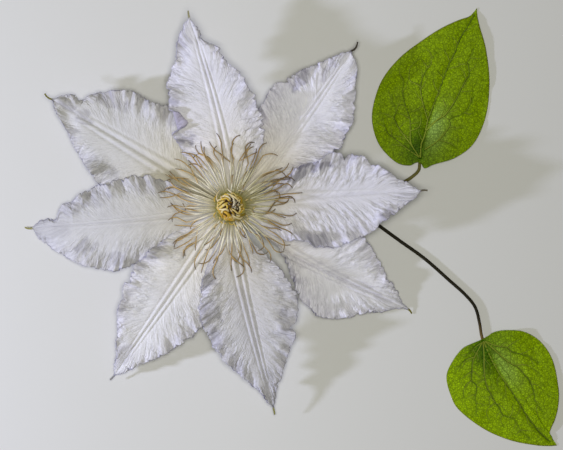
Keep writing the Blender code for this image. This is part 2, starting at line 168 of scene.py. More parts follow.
def colours(settings, *names):
    """The named colours of a group of settings."""
    return [tuple(getattr(settings, name)) for name in names]


def smoothstep(low, high, value):
    """0 below low, 1 above high and a smooth rise between them."""
    share = min(max((value - low) / (high - low), 0.0), 1.0)
    return share * share * (3.0 - 2.0 * share)


def blend(first, second, share):
    """Mix two colours; share is how much of the second one there is."""
    share = min(max(share, 0.0), 1.0)
    return tuple(a + (b - a) * share for a, b in zip(first, second))


def wave(value, seed, size=1.0):
    """Smooth seeded noise of a length, about -1 to 1."""
    return 2.0 * noise.noise(Vector((value / size, 17.3 * seed, 3.1)))


def patch(x, y, seed, size=1.0):
    """Smooth seeded noise over a plane, about -1 to 1."""
    return 2.0 * noise.noise(Vector((x / size, y / size, 7.7 * seed + 0.5)))


def seeded_waves(seed, count, shortest, longest):
    """A wavy function of a length: sines of random length and phase, about -1 to 1 in all."""
    draw = random.Random(seed)
    waves = [(2 * math.pi / draw.uniform(shortest, longest), draw.uniform(0, 2 * math.pi))
             for _ in range(count)]
    return lambda along: sum(math.sin(rate * along + phase) for rate, phase in waves) / count


def spline_point(points, position):
    """A point of the Catmull-Rom spline through points; position counts points from the first one."""
    index = min(int(position), len(points) - 2)
    share = position - index
    before = points[max(index - 1, 0)]
    start = points[index]
    end = points[index + 1]
    after = points[min(index + 2, len(points) - 1)]
    bend = 2 * before - 5 * start + 4 * end - after
    twist = 3 * start - before - 3 * end + after
    return start + 0.5 * share * ((end - before) + share * (bend + share * twist))


def spline_route(points, count):
    """count + 1 points along the spline through points."""
    points = [Vector(point) for point in points]
    return [spline_point(points, step / count * (len(points) - 1)) for step in range(count + 1)]


def add_node(tree, kind, values=None, links=None, **settings):
    """Add a shader node: values fill its inputs, links join them to a socket or a node's first output."""
    node = tree.nodes.new("ShaderNode" + kind)
    for name, value in settings.items():
        setattr(node, name, value)
    for key, value in (values or {}).items():
        node.inputs[key].default_value = value
    for key, source in (links or {}).items():
        tree.links.new(getattr(source, "outputs", (source,))[0], node.inputs[key])
    return node


def start_material(name):
    """An empty node material, and add_node for its tree."""
    material = bpy.data.materials.new(name)
    material.use_nodes = True
    material.node_tree.nodes.clear()
    return material, partial(add_node, material.node_tree)


def new_surface():
    """A bmesh whose vertices carry a colour (tint; on a tepal its alpha says how creased the skin is)
    and a place along the growth lines (flow)."""
    bm = bmesh.new()
    return bm, bm.verts.layers.float_color.new("tint"), bm.verts.layers.float_vector.new("flow")


def make_piece(name, bm, materials, node):
    """Turn a bmesh in mm into a finished piece of the object that stands for a CAD node."""
    bmesh.ops.scale(bm, vec=(MM, MM, MM), verts=bm.verts)
    mesh = bpy.data.meshes.new(name)
    bm.to_mesh(mesh)
    bm.free()
    for material in materials:
        mesh.materials.append(material)
    mesh.shade_smooth()
    piece = bpy.data.objects.new(name, mesh)
    bpy.context.scene.collection.objects.link(piece)
    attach(piece, BODY)
    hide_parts(node)
    return piece


def thicken(piece, thickness, offset, back_material=0):
    """Give a blade its thickness."""
    sheet = piece.modifiers.new("sheet", "SOLIDIFY")
    sheet.thickness = thickness
    sheet.offset = offset
    sheet.use_rim = True
    sheet.material_offset = back_material


def lay_rod(bm, sides, route, widths, depths, across, paint, low=None):
    """Add a closed rod along route, of these half widths and depths at each point of it, no part of it
    lower than low; paint(share, around) gives each vertex its colour."""
    last = len(route) - 1
    rod, tint, flow = new_surface()
    bmesh.ops.create_cone(rod, cap_ends=True, segments=sides, radius1=1.0, radius2=1.0, depth=last)
    tall = [edge for edge in rod.edges if abs(edge.verts[0].co.z - edge.verts[1].co.z) > 0.5]
    bmesh.ops.subdivide_edges(rod, edges=tall, cuts=last - 1)
    for vert in rod.verts:
        station = round(vert.co.z + last / 2)
        around = math.atan2(vert.co.y, vert.co.x)
        ahead = (route[min(station + 1, last)] - route[max(station - 1, 0)]).normalized()
        flat = (across - across.dot(ahead) * ahead).normalized()
        up = ahead.cross(flat)
        vert.co = route[station] + flat * vert.co.x * widths[station] + up * vert.co.y * depths[station]
        if low is not None:
            vert.co.z = max(vert.co.z, low)
        vert[tint] = (*paint(station / last, around), 1.0)
        vert[flow] = (station / last, around, route[station].length)
    mesh = bpy.data.meshes.new("rod")
    rod.to_mesh(mesh)
    rod.free()
    bm.from_mesh(mesh)
    bpy.data.meshes.remove(mesh)


# ---------------------------------------------------------------------------- tepals

# One side of a tepal: its greatest half width, where along the length it comes, and how quickly the
# outline opens before it and closes after it.
Side = namedtuple("Side", "width peak rise fall")
# The thread-like point: where it starts as a share of the length, how far it bulges to the left on its way
# and how far its end hooks to the left, in mm, and its colour.
Point = namedtuple("Point", "start bulge hook colour")
# A dent or bump of a blade: where it lies as a share of the length and of the half width (left is
# positive), how far it spreads along and across, and its height.
Dent = namedtuple("Dent", "share side along across height")
# A place where the margin rolls up or over: which side, where along the length, how far it spreads, how
# far from the midrib it starts, the radius of the roll, and how many radians it turns.
Curl = namedtuple("Curl", "side share spread start radius turn")
# A nick or a lobe of the outline: side, where along the length, its spread as a share, its depth.
Nick = namedtuple("Nick", "side share spread depth")
# A greyer, more violet patch, partly skin dried that colour and partly painted shade of a fold, pocket,
# trough or slope turned from the lamp: its place and spreads along and across, in mm, and its strength.
Stain = namedtuple("Stain", "along left length width strength")
# A tepal: heading, length, heights of claw and point, how late it droops or lifts, how much it falls
# per mm to the left, how far its midrib bows to the left, and its two sides; how bright and how blue it is
# painted beside the others, which is painted light and shade for how much of the bluish lamp's light it
# gets, the height and spacing of the two ridges on its midrib, its point, its stains (partly painted shade)
# and nicks; and for some its dents and curls, how cream the base is (on the upper right and upper left
# tepals partly a painted warm shadow) and how much more than the others it has crinkled.
Tepal = namedtuple(
    "Tepal",
    "name heading length claw_z point_z droop slant bow left right tone blue ribs point stains nicks dents "
    "curls cream crinkled", defaults=((), (), (), 0.35, 1.0))

TEPALS = (
    Tepal(
        "tepal_top", 102.4, 79.4, 16.6, 20.0, 2.0, 0.12, -2.8,
        Side(16.2, 0.45, 1.3, 1.0), Side(20.0, 0.38, 1.1, 1.35),
        0.97, 1.02, (0.42, 2.7), Point(0.965, 0.0, -0.3, "B4AE84"),
        ((68, 4.3, 4, 2.5, 0.7), (46, 12.9, 2.5, 2.4, 0.9), (30, 12.0, 2.2, 5, 1.0), (55, -2.8, 3, 2, 0.3),
         (32, -14.9, 3, 2, 0.3)),
        (Nick(-1, 0.845, 0.032, 2.0), Nick(-1, 0.785, 0.014, -0.7), Nick(-1, 0.62, 0.05, -0.8),
         Nick(1, 0.66, 0.03, -1.4), Nick(1, 0.453, 0.035, -3.8)),
        dents=(Dent(0.80, 0.75, 5.0, 3.5, -1.4), Dent(0.50, 0.95, 2.6, 3.0, 1.6),
            Dent(0.33, 0.75, 5.0, 5.0, -1.8), Dent(0.26, 0.55, 4.5, 4.5, 1.0)),
        curls=(Curl(1, 0.479, 0.055, 16.1, 0.45, 2.95),)),
    Tepal(
        "tepal_upper_right", 52.4, 82.8, 12.2, 9.0, 3.0, 0.0, -2.0,
        Side(15.8, 0.53, 1.5, 1.55), Side(20.0, 0.56, 1.5, 1.2),
        1.08, 1.06, (0.44, 2.6), Point(0.945, -0.7, 0.1, "4C4334"),
        ((56, 8.2, 5, 1.8, 1.1), (67, 2.5, 5, 1.5, 0.8), (52, -17.7, 4, 1.5, 0.4)),
        (Nick(1, 0.637, 0.013, 1.6), Nick(1, 0.60, 0.012, -0.9), Nick(-1, 0.63, 0.03, 0.5)),
        dents=(Dent(0.86, 0.75, 3.0, 2.5, 1.2),),
        cream=0.9, crinkled=1.5),
    Tepal(
        "tepal_right", 4.8, 78.3, 16.6, 19.0, 2.0, 0.0, 1.0,
        Side(17.7, 0.57, 1.6, 1.5), Side(19.4, 0.48, 0.9, 1.2),
        0.96, 1.05, (0.28, 3.6), Point(0.965, 0.2, -0.1, "6B6350"),
        ((35, 13.5, 8, 2.4, 1.5), (27, 10.2, 4, 2.4, 1.2), (34, -16.1, 6, 3.4, 1.2), (62, -9.2, 3, 3, 1.0),
         (21, 5.4, 3, 3, 0.7), (49, 15.5, 4, 1.5, 0.5)),
        (Nick(1, 0.597, 0.012, 2.0), Nick(1, 0.725, 0.015, 1.6), Nick(1, 0.655, 0.04, -0.6),
         Nick(-1, 0.72, 0.02, -0.8), Nick(-1, 0.76, 0.02, 1.0)),
        dents=(Dent(0.40, 0.95, 8.0, 4.0, 2.2), Dent(0.30, -0.85, 5.0, 4.0, 1.6),
            Dent(0.75, -0.85, 3.5, 3.5, 1.5), Dent(0.48, 0.9, 2.4, 3.0, 1.0)),
        curls=(Curl(1, 0.37, 0.11, 12.0, 1.0, 1.0), Curl(-1, 0.345, 0.06, 12.5, 1.0, 0.9)),
        crinkled=1.7),
    Tepal(
        "tepal_lower_right", -29.9, 83.9, 12.2, 0.4, 2.2, 0.0, -4.0,
        Side(18.0, 0.50, 1.4, 1.5), Side(20.1, 0.60, 3.9, 1.7),
        1.08, 1.04, (0.7, 3.4), Point(0.975, 0.0, -0.9, "98923E"),
        ((49, -2.5, 13, 1.8, 0.45), (35, -5.3, 5, 1.5, 0.4), (67, -0.8, 9, 1.5, 0.5), (35, -12.0, 6, 2, 0.6),
         (65, 10.6, 3, 2, 0.4)),
        (Nick(1, 0.81, 0.014, 1.9), Nick(1, 0.85, 0.02, -0.6), Nick(-1, 0.775, 0.008, 1.4),
         Nick(-1, 0.62, 0.03, -0.5)),
        crinkled=1.5),
    Tepal(
        "tepal_bottom", -78.0, 84.6, 16.6, 5.0, 3.0, 0.0, -2.0,
        Side(18.2, 0.47, 2.1, 1.6), Side(20.7, 0.50, 1.1, 1.45),
        0.83, 1.0, (0.5, 2.8), Point(0.967, 0.0, -0.1, "B5B26C"),
        ((27, -15.2, 3.4, 3.2, 1.0), (39, -16.6, 5, 3.4, 0.8), (50, -16.8, 5, 2.6, 0.8),
         (48, 11.5, 6, 3, 0.7), (72, -0.2, 7, 3, 0.45), (37, -4.2, 6, 4, 0.35), (62, -10.4, 5, 3, 0.5),
         (50, -2.8, 14, 4, 0.3)),
        (Nick(1, 0.615, 0.016, 1.5), Nick(-1, 0.43, 0.02, -0.8), Nick(-1, 0.86, 0.02, 0.8)),
        dents=(Dent(0.36, -0.85, 4.0, 4.0, 1.6), Dent(0.55, -0.8, 4.0, 5.0, 1.3),
            Dent(0.86, 0.3, 5.0, 3.0, -1.0)),
        crinkled=1.3),
    Tepal(
        "tepal_lower_left", -124.7, 84.2, 14.4, 3.0, 3.0, 0.05, 0.2,
        Side(18.2, 0.50, 1.2, 1.25), Side(18.2, 0.50, 1.1, 1.35),
        0.98, 0.97, (0.46, 2.8), Point(0.972, 0.0, -0.3, "A29F9C"),
        ((29, -15.4, 5, 3, 0.8), (54, -14.1, 5, 2.4, 0.6), (73, -1.2, 6, 3, 0.6), (53, 14.8, 4, 4, 0.4),
         (61, 11.8, 4, 3, 0.3), (38, -16.4, 4, 2.2, 0.5), (64, -9.0, 4, 2, 0.5)),
        (Nick(-1, 0.56, 0.014, 1.4), Nick(-1, 0.43, 0.02, 1.0), Nick(-1, 0.70, 0.03, -0.6)),
        dents=(Dent(0.78, -0.6, 4.0, 4.0, 1.2), Dent(0.58, 0.85, 4.0, 5.0, -1.2))),
    Tepal(
        "tepal_left", -174.0, 82.8, 12.0, 0.4, 4.0, 0.05, 1.5,
        Side(20.5, 0.58, 1.4, 1.0), Side(16.4, 0.44, 1.6, 1.2),
        0.79, 0.95, (0.36, 2.6), Point(0.963, 0.2, -0.5, "A59F58"),
        ((63, -5.9, 4, 3, 0.8), (53, -8.8, 6, 3.2, 0.6), (30, -11.2, 8, 3.2, 0.35), (59, 9.9, 5, 2.6, 0.7),
         (47, 15.5, 4, 3, 0.7), (73, -2.9, 4, 2, 0.6), (66, -3.3, 3, 2, 0.4), (72, 1, 8, 6, 0.4)),
        (Nick(-1, 0.845, 0.022, 3.2), Nick(-1, 0.885, 0.025, 0.8), Nick(1, 0.42, 0.02, 0.8)),
        dents=(Dent(0.60, -0.75, 5.0, 5.0, 1.6), Dent(0.76, -0.8, 4.0, 4.0, 1.3),
            Dent(0.45, 0.8, 3.0, 4.0, 1.2))),
    Tepal(
        "tepal_upper_left", 149.0, 86.6, 9.4, 11.0, 6.0, 0.07, 0.0,
        Side(19.3, 0.52, 1.3, 1.4), Side(22.0, 0.50, 1.2, 1.25),
        0.83, 0.94, (0.34, 4.2), Point(0.957, 0.3, -0.5, "908A30"),
        ((65, -11.8, 10, 3.2, 0.8), (77, -0.8, 4.5, 2.4, 0.9), (68, -0.8, 3.6, 3, 0.7),
         (71, 8.3, 6, 2.6, 0.6), (48, 12.7, 4, 2.4, 0.6), (50, -19.7, 4, 2, 0.6), (56, 11.5, 4, 2, 0.4),
         (38, -18.5, 5, 3, 0.7)),
        (Nick(-1, 0.845, 0.022, 2.9), Nick(-1, 0.71, 0.05, -1.3), Nick(-1, 0.56, 0.05, 1.7),
         Nick(1, 0.40, 0.02, 0.8)),
        dents=(Dent(0.50, -0.85, 7.0, 4.0, 1.8), Dent(0.84, 0.5, 4.0, 3.0, -1.5),
            Dent(0.92, -0.3, 3.0, 2.0, 1.5)),
        cream=1.0),
)
TEPAL_ROWS = 200
TEPAL_COLUMNS = 84
# How much closer together the columns stand at the margins than at the midrib.
COLUMN_CROWDING = 1.2
TEPAL_START = 5.3
CLAW_HALF_WIDTH = 2.2
POINT_HALF_WIDTH = 0.16
LOWEST_SHEET = 0.3
# Depth or height in mm, and spacing in mm where there is one, of what makes a blade uneven.
RUFFLE_HEIGHT = 1.3
SCALLOP_DEPTH = 0.45
NOTCH_DEPTH, NOTCH_SPACING = 1.5, 3.6
SMALL_NOTCH_DEPTH, SMALL_NOTCH_SPACING = 0.45, 1.6
NIBBLE_DEPTH, NIBBLE_SPACING = 0.35, 1.1
SWELL_DEPTH, SWELL_SPACING = 0.6, 5.5
CROWN_HEIGHT = 0.5
# Shares of the frill's height, and spacings in mm.
BROAD_FRILL, BROAD_FRILL_SPACING = 0.75, 5.2
TIGHT_FRILL, TIGHT_FRILL_SPACING = 0.62, 2.1
FULL_FRILL_WIDTH = 8.0
CREASE_SPACING = 1.4
# Painted light and shade on the ridges: how much brighter the crest of a ridge 1 mm high is painted than the
# blade, its valleys as much darker.
RIB_PAINTED_LIGHT = 0.14


def half_width(side, share):
    """A side's half width in mm at a share of the length, before its nicks and notches."""
    if share < side.peak:
        return side.width * math.sin(QUARTER_TURN * share / side.peak) ** side.rise
    return side.width * math.cos(QUARTER_TURN * (share - side.peak) / (1 - side.peak)) ** side.fall


def vein_lag(share):
    """How far ahead, in half widths, a side vein has run once it is this far out to the margin: it leaves
    the midrib almost along it and meets the margin nearly square."""
    return 0.85 * math.sqrt(share + 0.0025)


def shape_tepal(spec, settings):
    """The function from a share of the length and a signed share of the half width to a point of the
    blade in mm, with the place along its veins and its colour."""
    number = TEPALS.index(spec)
    scallops = {side: seeded_waves(f"{spec.name} outline {side}", 3, 7 * MM, 16 * MM) for side in (1, -1)}
    ruffles = {side: seeded_waves(f"{spec.name} ruffle {side}", 2, 15 * MM, 26 * MM) for side in (1, -1)}
    sides = {1: spec.left, -1: spec.right}
    turn = Matrix.Rotation(math.radians(spec.heading), 3, "Z")
    frill_height = settings.frill / MM
    crinkle = settings.crinkle / MM
    white, cream, lavender, edge_line, stain_and_shade_colour = colours(
        settings, "white", "cream", "lavender", "edge", "stain")
    stains = [Stain(*values) for values in spec.stains]
    point = spec.point

    def place(length_share, across):
        side = 1 if across >= 0 else -1
        out = abs(across)
        seed = number + (0.5 if side > 0 else 0.0)
        along = TEPAL_START + length_share * (spec.length - TEPAL_START)
        share = along / spec.length

        # The outline, with its nicks and its ragged margin.
        bow = spec.bow * math.sin(math.pi * share ** 0.7)
        free = smoothstep(0.12, 0.4, share) * (1 - smoothstep(0.9, 1.0, share))
        edge = half_width(sides[side], share) + SCALLOP_DEPTH * scallops[side](along * MM) * free
        for nick in spec.nicks:
            if nick.side == side:
                edge -= nick.depth * math.exp(-(((share - nick.share) / nick.spread) ** 2))
        notch = max(0.0, 1.0 - abs(wave(along, seed + 20, NOTCH_SPACING)) / 0.3)
        small_notch = max(0.0, 1.0 - abs(wave(along, seed + 25, SMALL_NOTCH_SPACING)) / 0.4)
        ragged = NOTCH_DEPTH * notch * notch + SMALL_NOTCH_DEPTH * small_notch
        ragged += NIBBLE_DEPTH * wave(along, seed + 30, NIBBLE_SPACING)
        edge -= (ragged + SWELL_DEPTH * wave(along, seed + 33, SWELL_SPACING)) * free * (1 - 0.4 * share)
        edge *= 1 - 0.85 * smoothstep(point.start - 0.03, point.start, share)
        edge = max(edge, CLAW_HALF_WIDTH * (1 - smoothstep(0.1, 0.3, share)), POINT_HALF_WIDTH)
        edge = max(edge - side * bow, POINT_HALF_WIDTH)
        offset = out * edge

        # The lie of the blade, its ridges, frills and creases.
        vein = along - sides[side].width * vein_lag(out)
        waved = smoothstep(0.3, 0.75, share) * (1 - smoothstep(0.88, 1.0, share))
        frilled = smoothstep(0.16, 0.4, share) * (1 - 0.75 * smoothstep(0.85, 1.0, share))
        height = spec.claw_z + (spec.point_z - spec.claw_z) * share ** spec.droop
        settled = 1 - smoothstep(0.85, 1.0, share)
        height -= spec.slant * side * offset * smoothstep(0.15, 0.4, share) * settled
        height += RUFFLE_HEIGHT * ruffles[side](along * MM) * out * out * waved
        rib_height, rib_pitch = spec.ribs
        pitch = rib_pitch * (1.15 - 0.75 * share)
        ribs = -math.cos(2 * math.pi * offset / pitch) * (1 - smoothstep(0.7, 1.4, offset / pitch))
        ribs *= smoothstep(0.06, 0.2, share) * (1 - smoothstep(0.6, 0.93, share))
        height += rib_height * ribs
        height += CROWN_HEIGHT * math.sin(math.pi * min(offset / max(edge, 1.0), 1.0)) * free
        lively = 0.55 + 0.45 * wave(along, seed + 40, 9.0)
        broad = wave(vein, seed, BROAD_FRILL_SPACING) * smoothstep(0.35, 1.0, out) ** 1.6
        tight = wave(vein, seed + 60, TIGHT_FRILL_SPACING) * smoothstep(0.55, 1.0, out) ** 1.5
        frill = BROAD_FRILL * broad + TIGHT_FRILL * tight * lively
        height += frill_height * frilled * frill * min(1.0, edge / FULL_FRILL_WIDTH)
        uneven = 0.22 * patch(along, offset, seed + 85, 9.0)
        creased_part = smoothstep(0.18 / spec.crinkled, 0.8 / spec.crinkled, out + uneven)
        creased_part *= smoothstep(0.1, 0.3, share)
        crease = patch(vein, 0.4 * offset, seed + 80, CREASE_SPACING) * (0.25 + 0.75 * creased_part)
        height += crinkle * spec.crinkled * crease * frilled
        for dent in spec.dents:
            away = ((share - dent.share) * spec.length / dent.along) ** 2
            away += ((side * offset - dent.side * edge) / dent.across) ** 2
            height += dent.height * math.exp(-away)
        for curl in spec.curls:
            excess = offset - curl.start
            if curl.side == side and excess > 0:
                turned = curl.turn * math.exp(-(((share - curl.share) / curl.spread) ** 4))
                bend = min(excess / curl.radius, turned)
                rest = excess - bend * curl.radius
                offset = curl.start + curl.radius * math.sin(bend) + rest * math.cos(bend)
                height += curl.radius * (1 - math.cos(bend)) + rest * math.sin(bend)
        height = max(height, LOWEST_SHEET + 0.05 * min(height, 0.0))

        # Its colours: cream at the base, stains that are partly painted shade, the thin line along the margin
        # and the point.
        colour = blend(white, lavender, smoothstep(0.45, 1.0, out) * (0.4 + 0.6 * share))
        # Partly painted shadow: the cream base, strongest on the upper right and upper left tepals, also
        # stands in for the warm shadow over their bases.
        base = (1 - smoothstep(0.16, 0.62, share)) * (1 - 0.7 * smoothstep(0.4, 1.0, out))
        colour = blend(colour, cream, base * (0.35 + 0.65 * spec.cream))
        # Painted shade and stains: violet-grey patches laid on folds, pockets, troughs and dried places of
        # the blade.
        stained_and_shaded = 0.0
        drift = 1.3 * patch(along, offset, seed + 88, 3.2) + 0.5 * patch(along, offset, seed + 89, 1.1)
        for stain in stains:
            away = ((along + drift - stain.along) / stain.length) ** 2
            away += ((bow + side * out * edge + 0.8 * drift - stain.left) / stain.width) ** 2
            stained_and_shaded = max(stained_and_shaded, stain.strength * (1 - smoothstep(0.45, 1.5, away)))
        colour = blend(colour, stain_and_shade_colour, stained_and_shaded * (0.52 + 0.3 * wave(vein, seed + 90, 1.3)))
        rim = 1 - smoothstep(0.05, 0.45, (1 - out) * edge)
        broken = 0.5 + 0.4 * wave(along, seed + 95, 3.0)
        colour = blend(colour, edge_line, broken * rim * smoothstep(0.2, 0.35, share))
        # Painted light and shade: tone and blue brighten or dim each tepal, and blue it, for how much of the
        # bluish lamp's light it gets; the ridges' crests are painted lighter and their valleys darker.
        tone = spec.tone * (1 + RIB_PAINTED_LIGHT * rib_height * ribs)
        colour = (tone * colour[0], tone * colour[1], tone * spec.blue * colour[2])
        reached = smoothstep(point.start - 0.008, point.start + 0.006, share)
        colour = blend(colour, linear(point.colour), reached)
        way = min(max((share - point.start) / (1 - point.start), 0.0), 1.0)
        hooked = bow + side * offset + point.bulge * math.sin(math.pi * way) + point.hook * way * way
        return turn @ Vector((along, hooked, height)), (vein, offset, seed), (*colour, creased_part)

    return place


def tepal_material(name, settings, back):
    """Petal tissue, crinkled by drying: a white satin skin, translucent and finely creased, so light
    streaks along its veins and softens in its shade; the hollows of the creases are painted darker and their
    crests lighter."""
    material, add = start_material(name)
    tint = add("Attribute", attribute_name="tint")
    creased_part = tint.outputs["Alpha"]
    flow = add("Attribute", attribute_name="flow").outputs["Vector"]
    # Creases are about 0.5 mm apart on the flower; drawn at 0.7 to 1.3 mm so that they show.
    creased = add("Mapping", {"Scale": (1.5, 0.42, 1.5)}, {"Vector": flow})
    creases = add(
        "TexNoise", {"Scale": 1.0, "Detail": 2.0, "Roughness": 0.6, "Distortion": 0.5}, {"Vector": creased})
    place = add("TexCoord").outputs["Object"]
    # Cells of the skin are some 0.05 mm wide; drawn at 0.7 mm. Clouds in it are 6 mm wide.
    skin = add("TexNoise", {"Scale": 1500.0, "Detail": 2.0, "Roughness": 0.5}, {"Vector": place})
    mottle = add("TexNoise", {"Scale": 160.0, "Detail": 3.0, "Roughness": 0.5}, {"Vector": place})
    # Painted shade and light: the colour is darker in the hollows of the creases and lighter on their crests,
    # from the same noise that gives the bump; more so where the skin is creased.
    deepest = add("MapRange", {"To Min": 0.92, "To Max": 0.83}, {"Value": creased_part})
    highest = add("MapRange", {"To Min": 1.035, "To Max": 1.10}, {"Value": creased_part})
    shade = add(
        "MapRange", {"From Min": 0.32, "From Max": 0.68},
        {"Value": creases, "To Min": deepest, "To Max": highest})
    cloud = add(
        "MapRange", {"From Min": 0.3, "From Max": 0.7, "To Min": 0.945, "To Max": 1.03}, {"Value": mottle})
    both = add("Math", links={0: shade, 1: cloud}, operation="MULTIPLY")
    colour = add("VectorMath", links={0: tint, 1: both}, operation="MULTIPLY")
    outside = colour.outputs["Vector"]
    if back:
        under = add("Mix", {0: 0.8, 7: (*settings.back, 1.0)}, {6: outside}, data_type="RGBA")
        outside = under.outputs[2]
    steep = add("MapRange", {"To Min": 0.4, "To Max": 1.0}, {"Value": creased_part})
    creased_bump = add("Bump", {"Distance": 0.0007}, {"Strength": steep, "Height": creases})
    bump = add("Bump", {"Strength": 0.6, "Distance": 0.0002}, {"Height": skin, "Normal": creased_bump})
    shader = add(
        "BsdfPrincipled",
        {"Roughness": 0.55, "IOR": 1.42, "Subsurface Weight": 0.15, "Subsurface Radius": (1.0, 0.95, 1.0),
         "Subsurface Scale": 0.0006, "Sheen Weight": 0.08, "Sheen Roughness": 0.4},
        {"Base Color": outside, "Normal": bump})
    add("OutputMaterial", links={"Surface": shader})
    return material


class CLEMATIS_OT_tepals(bpy.types.Operator):
    """Build the eight frilled tepals"""
    bl_idname = "clematis.tepals"
    bl_label = "Tepals"

    def execute(self, context):
        settings = context.scene.clematis.tepals
        upper = tepal_material("petal_satin_crinkled", settings, False)
        under = tepal_material("petal_underside", settings, True)
        for spec in TEPALS:
            place = shape_tepal(spec, settings)
            bm, tint, flow = new_surface()
            bmesh.ops.create_grid(bm, x_segments=TEPAL_ROWS, y_segments=TEPAL_COLUMNS, size=1.0)
            for vert in bm.verts:
                side = 1 if vert.co.y >= 0 else -1
                across = side * (1 - (1 - min(abs(vert.co.y), 1.0)) ** COLUMN_CROWDING)
                vert.co, vert[flow], vert[tint] = place((vert.co.x + 1) / 2, across)
            piece = make_piece(f"{spec.name}_blade", bm, (upper, under), spec.name)
            thicken(piece, settings.sheet, 0.0, 1)
        return {"FINISHED"}


# ---------------------------------------------------------------------------- stamens

STAMEN_ROOT_RADIUS = 5.1
STAMEN_ROOT_HEIGHT = 17.9
STAMEN_CREST = 20.0
STAMEN_REACH = (16.5, 29.0)
SHORT_STAMENS = 0.10
SHORT_REACH = (9.5, 14.0)
STAMEN_TIERS = 4
TIER_RISE = 1.1
STAMEN_STEPS = 16
# How wide a filament is where its anther starts, beside its foot.
FILAMENT_TAPER = 0.72
# How much longer a stamen is than its reach, for its bends.
STAMEN_SLACK = 1.06
# Painted shadow: the stamens towards this heading, in radians from +X, lie where the crown's shadow falls
# from the low lamp, and their anthers, filaments and feet are painted darker and more olive.
SHADOWED_HEADING = 0.2
RIM_HEIGHT = 18.9
RECEPTACLE = ((0.0, 7.8), (1.9, 7.8), (3.4, 8.1), (5.0, 8.7), (5.0, 17.5), (6.2, 17.5), (6.2, 18.3),
              (5.4, RIM_HEIGHT), (0.0, RIM_HEIGHT))


def add_turned(bm, profile, sides, colour):
    """Add a solid turned round +Z from (radius, height) points that start and end on the axis."""
    tint = bm.verts.layers.float_color["tint"]
    turns = [2 * math.pi * step / sides for step in range(sides)]
    rings = [[bm.verts.new((radius * math.cos(turn), radius * math.sin(turn), height)) for turn in turns]
             for radius, height in profile]
    for inner, outer in zip(rings, rings[1:]):
        for step in range(sides):
            bm.faces.new((inner[step - 1], inner[step], outer[step], outer[step - 1]))
    # The rings on the axis become single points.
    bmesh.ops.remove_doubles(bm, verts=bm.verts, dist=1e-4)
    for vert in bm.verts:
        vert[tint] = (*colour, 1.0)


def stamen_material(name):
    """Dried threads: creamy, slightly waxy filaments and papery tan anthers, rough along their length."""
    material, add = start_material(name)
    tint = add("Attribute", attribute_name="tint")
    place = add("TexCoord").outputs["Object"]
    # Pollen sacs are grained at about 0.3 mm.
    grain = add("TexNoise", {"Scale": 3200.0, "Detail": 3.0, "Roughness": 0.6}, {"Vector": place})
    shade = add(
        "MapRange", {"From Min": 0.25, "From Max": 0.75, "To Min": 0.72, "To Max": 1.15}, {"Value": grain})
    colour = add("VectorMath", links={0: tint, 1: shade}, operation="MULTIPLY")
    bump = add("Bump", {"Strength": 0.4, "Distance": 0.0001}, {"Height": grain})
    shader = add(
        "BsdfPrincipled",
        {"Roughness": 0.5, "IOR": 1.45, "Subsurface Weight": 0.1, "Subsurface Radius": (1.0, 0.8, 0.5),
         "Subsurface Scale": 0.0004},
        {"Base Color": colour, "Normal": bump})
    add("OutputMaterial", links={"Surface": shader})
    return material


def stamen_route(draw, number, count):
    """The heading of one stamen and its arching, kinked course."""
    heading = 2 * math.pi * (number + draw.uniform(-0.45, 0.45)) / count
    low, high = STAMEN_REACH
    reach = low + (high - low) * draw.random() ** 0.55
    if draw.random() < SHORT_STAMENS:
        reach = draw.uniform(*SHORT_REACH)
    root = STAMEN_ROOT_RADIUS + draw.uniform(-0.6, 0.6)
    tier = number % STAMEN_TIERS
    crest = STAMEN_CREST + TIER_RISE * tier + draw.uniform(-0.3, 0.3)
    tip = crest + draw.uniform(-1.6, 0.6) * (0.4 + 0.35 * tier)
    step = (reach - root) / STAMEN_STEPS * STAMEN_SLACK
    spot = Vector((root * math.cos(heading), root * math.sin(heading), STAMEN_ROOT_HEIGHT))
    course = heading + draw.uniform(-0.10, 0.10)
    bend = draw.uniform(-0.02, 0.02)
    kink_at = draw.uniform(0.5, 0.9)
    kink = draw.choice((0.0, draw.uniform(-0.9, 0.9)))
    hook = draw.uniform(-0.5, 0.5)
    anther_from = draw.uniform(0.48, 0.66)
    route = []
    for index in range(STAMEN_STEPS + 1):
        share = index / STAMEN_STEPS
        rise = smoothstep(0.0, 0.4, share)
        spot.z = STAMEN_ROOT_HEIGHT + (crest - STAMEN_ROOT_HEIGHT) * rise + (tip - crest) * share ** 2
        route.append(spot.copy())
        bend += draw.uniform(-0.11, 0.11) * (0.2 + share)
        bend *= 0.92
        course += bend * (0.25 + 0.75 * share)
        if abs(share - kink_at) < 0.5 / STAMEN_STEPS:
            course += kink
        if share > 0.8:
            course += hook
        spot = spot + Vector((math.cos(course), math.sin(course), 0.0)) * step
    return heading, route, anther_from


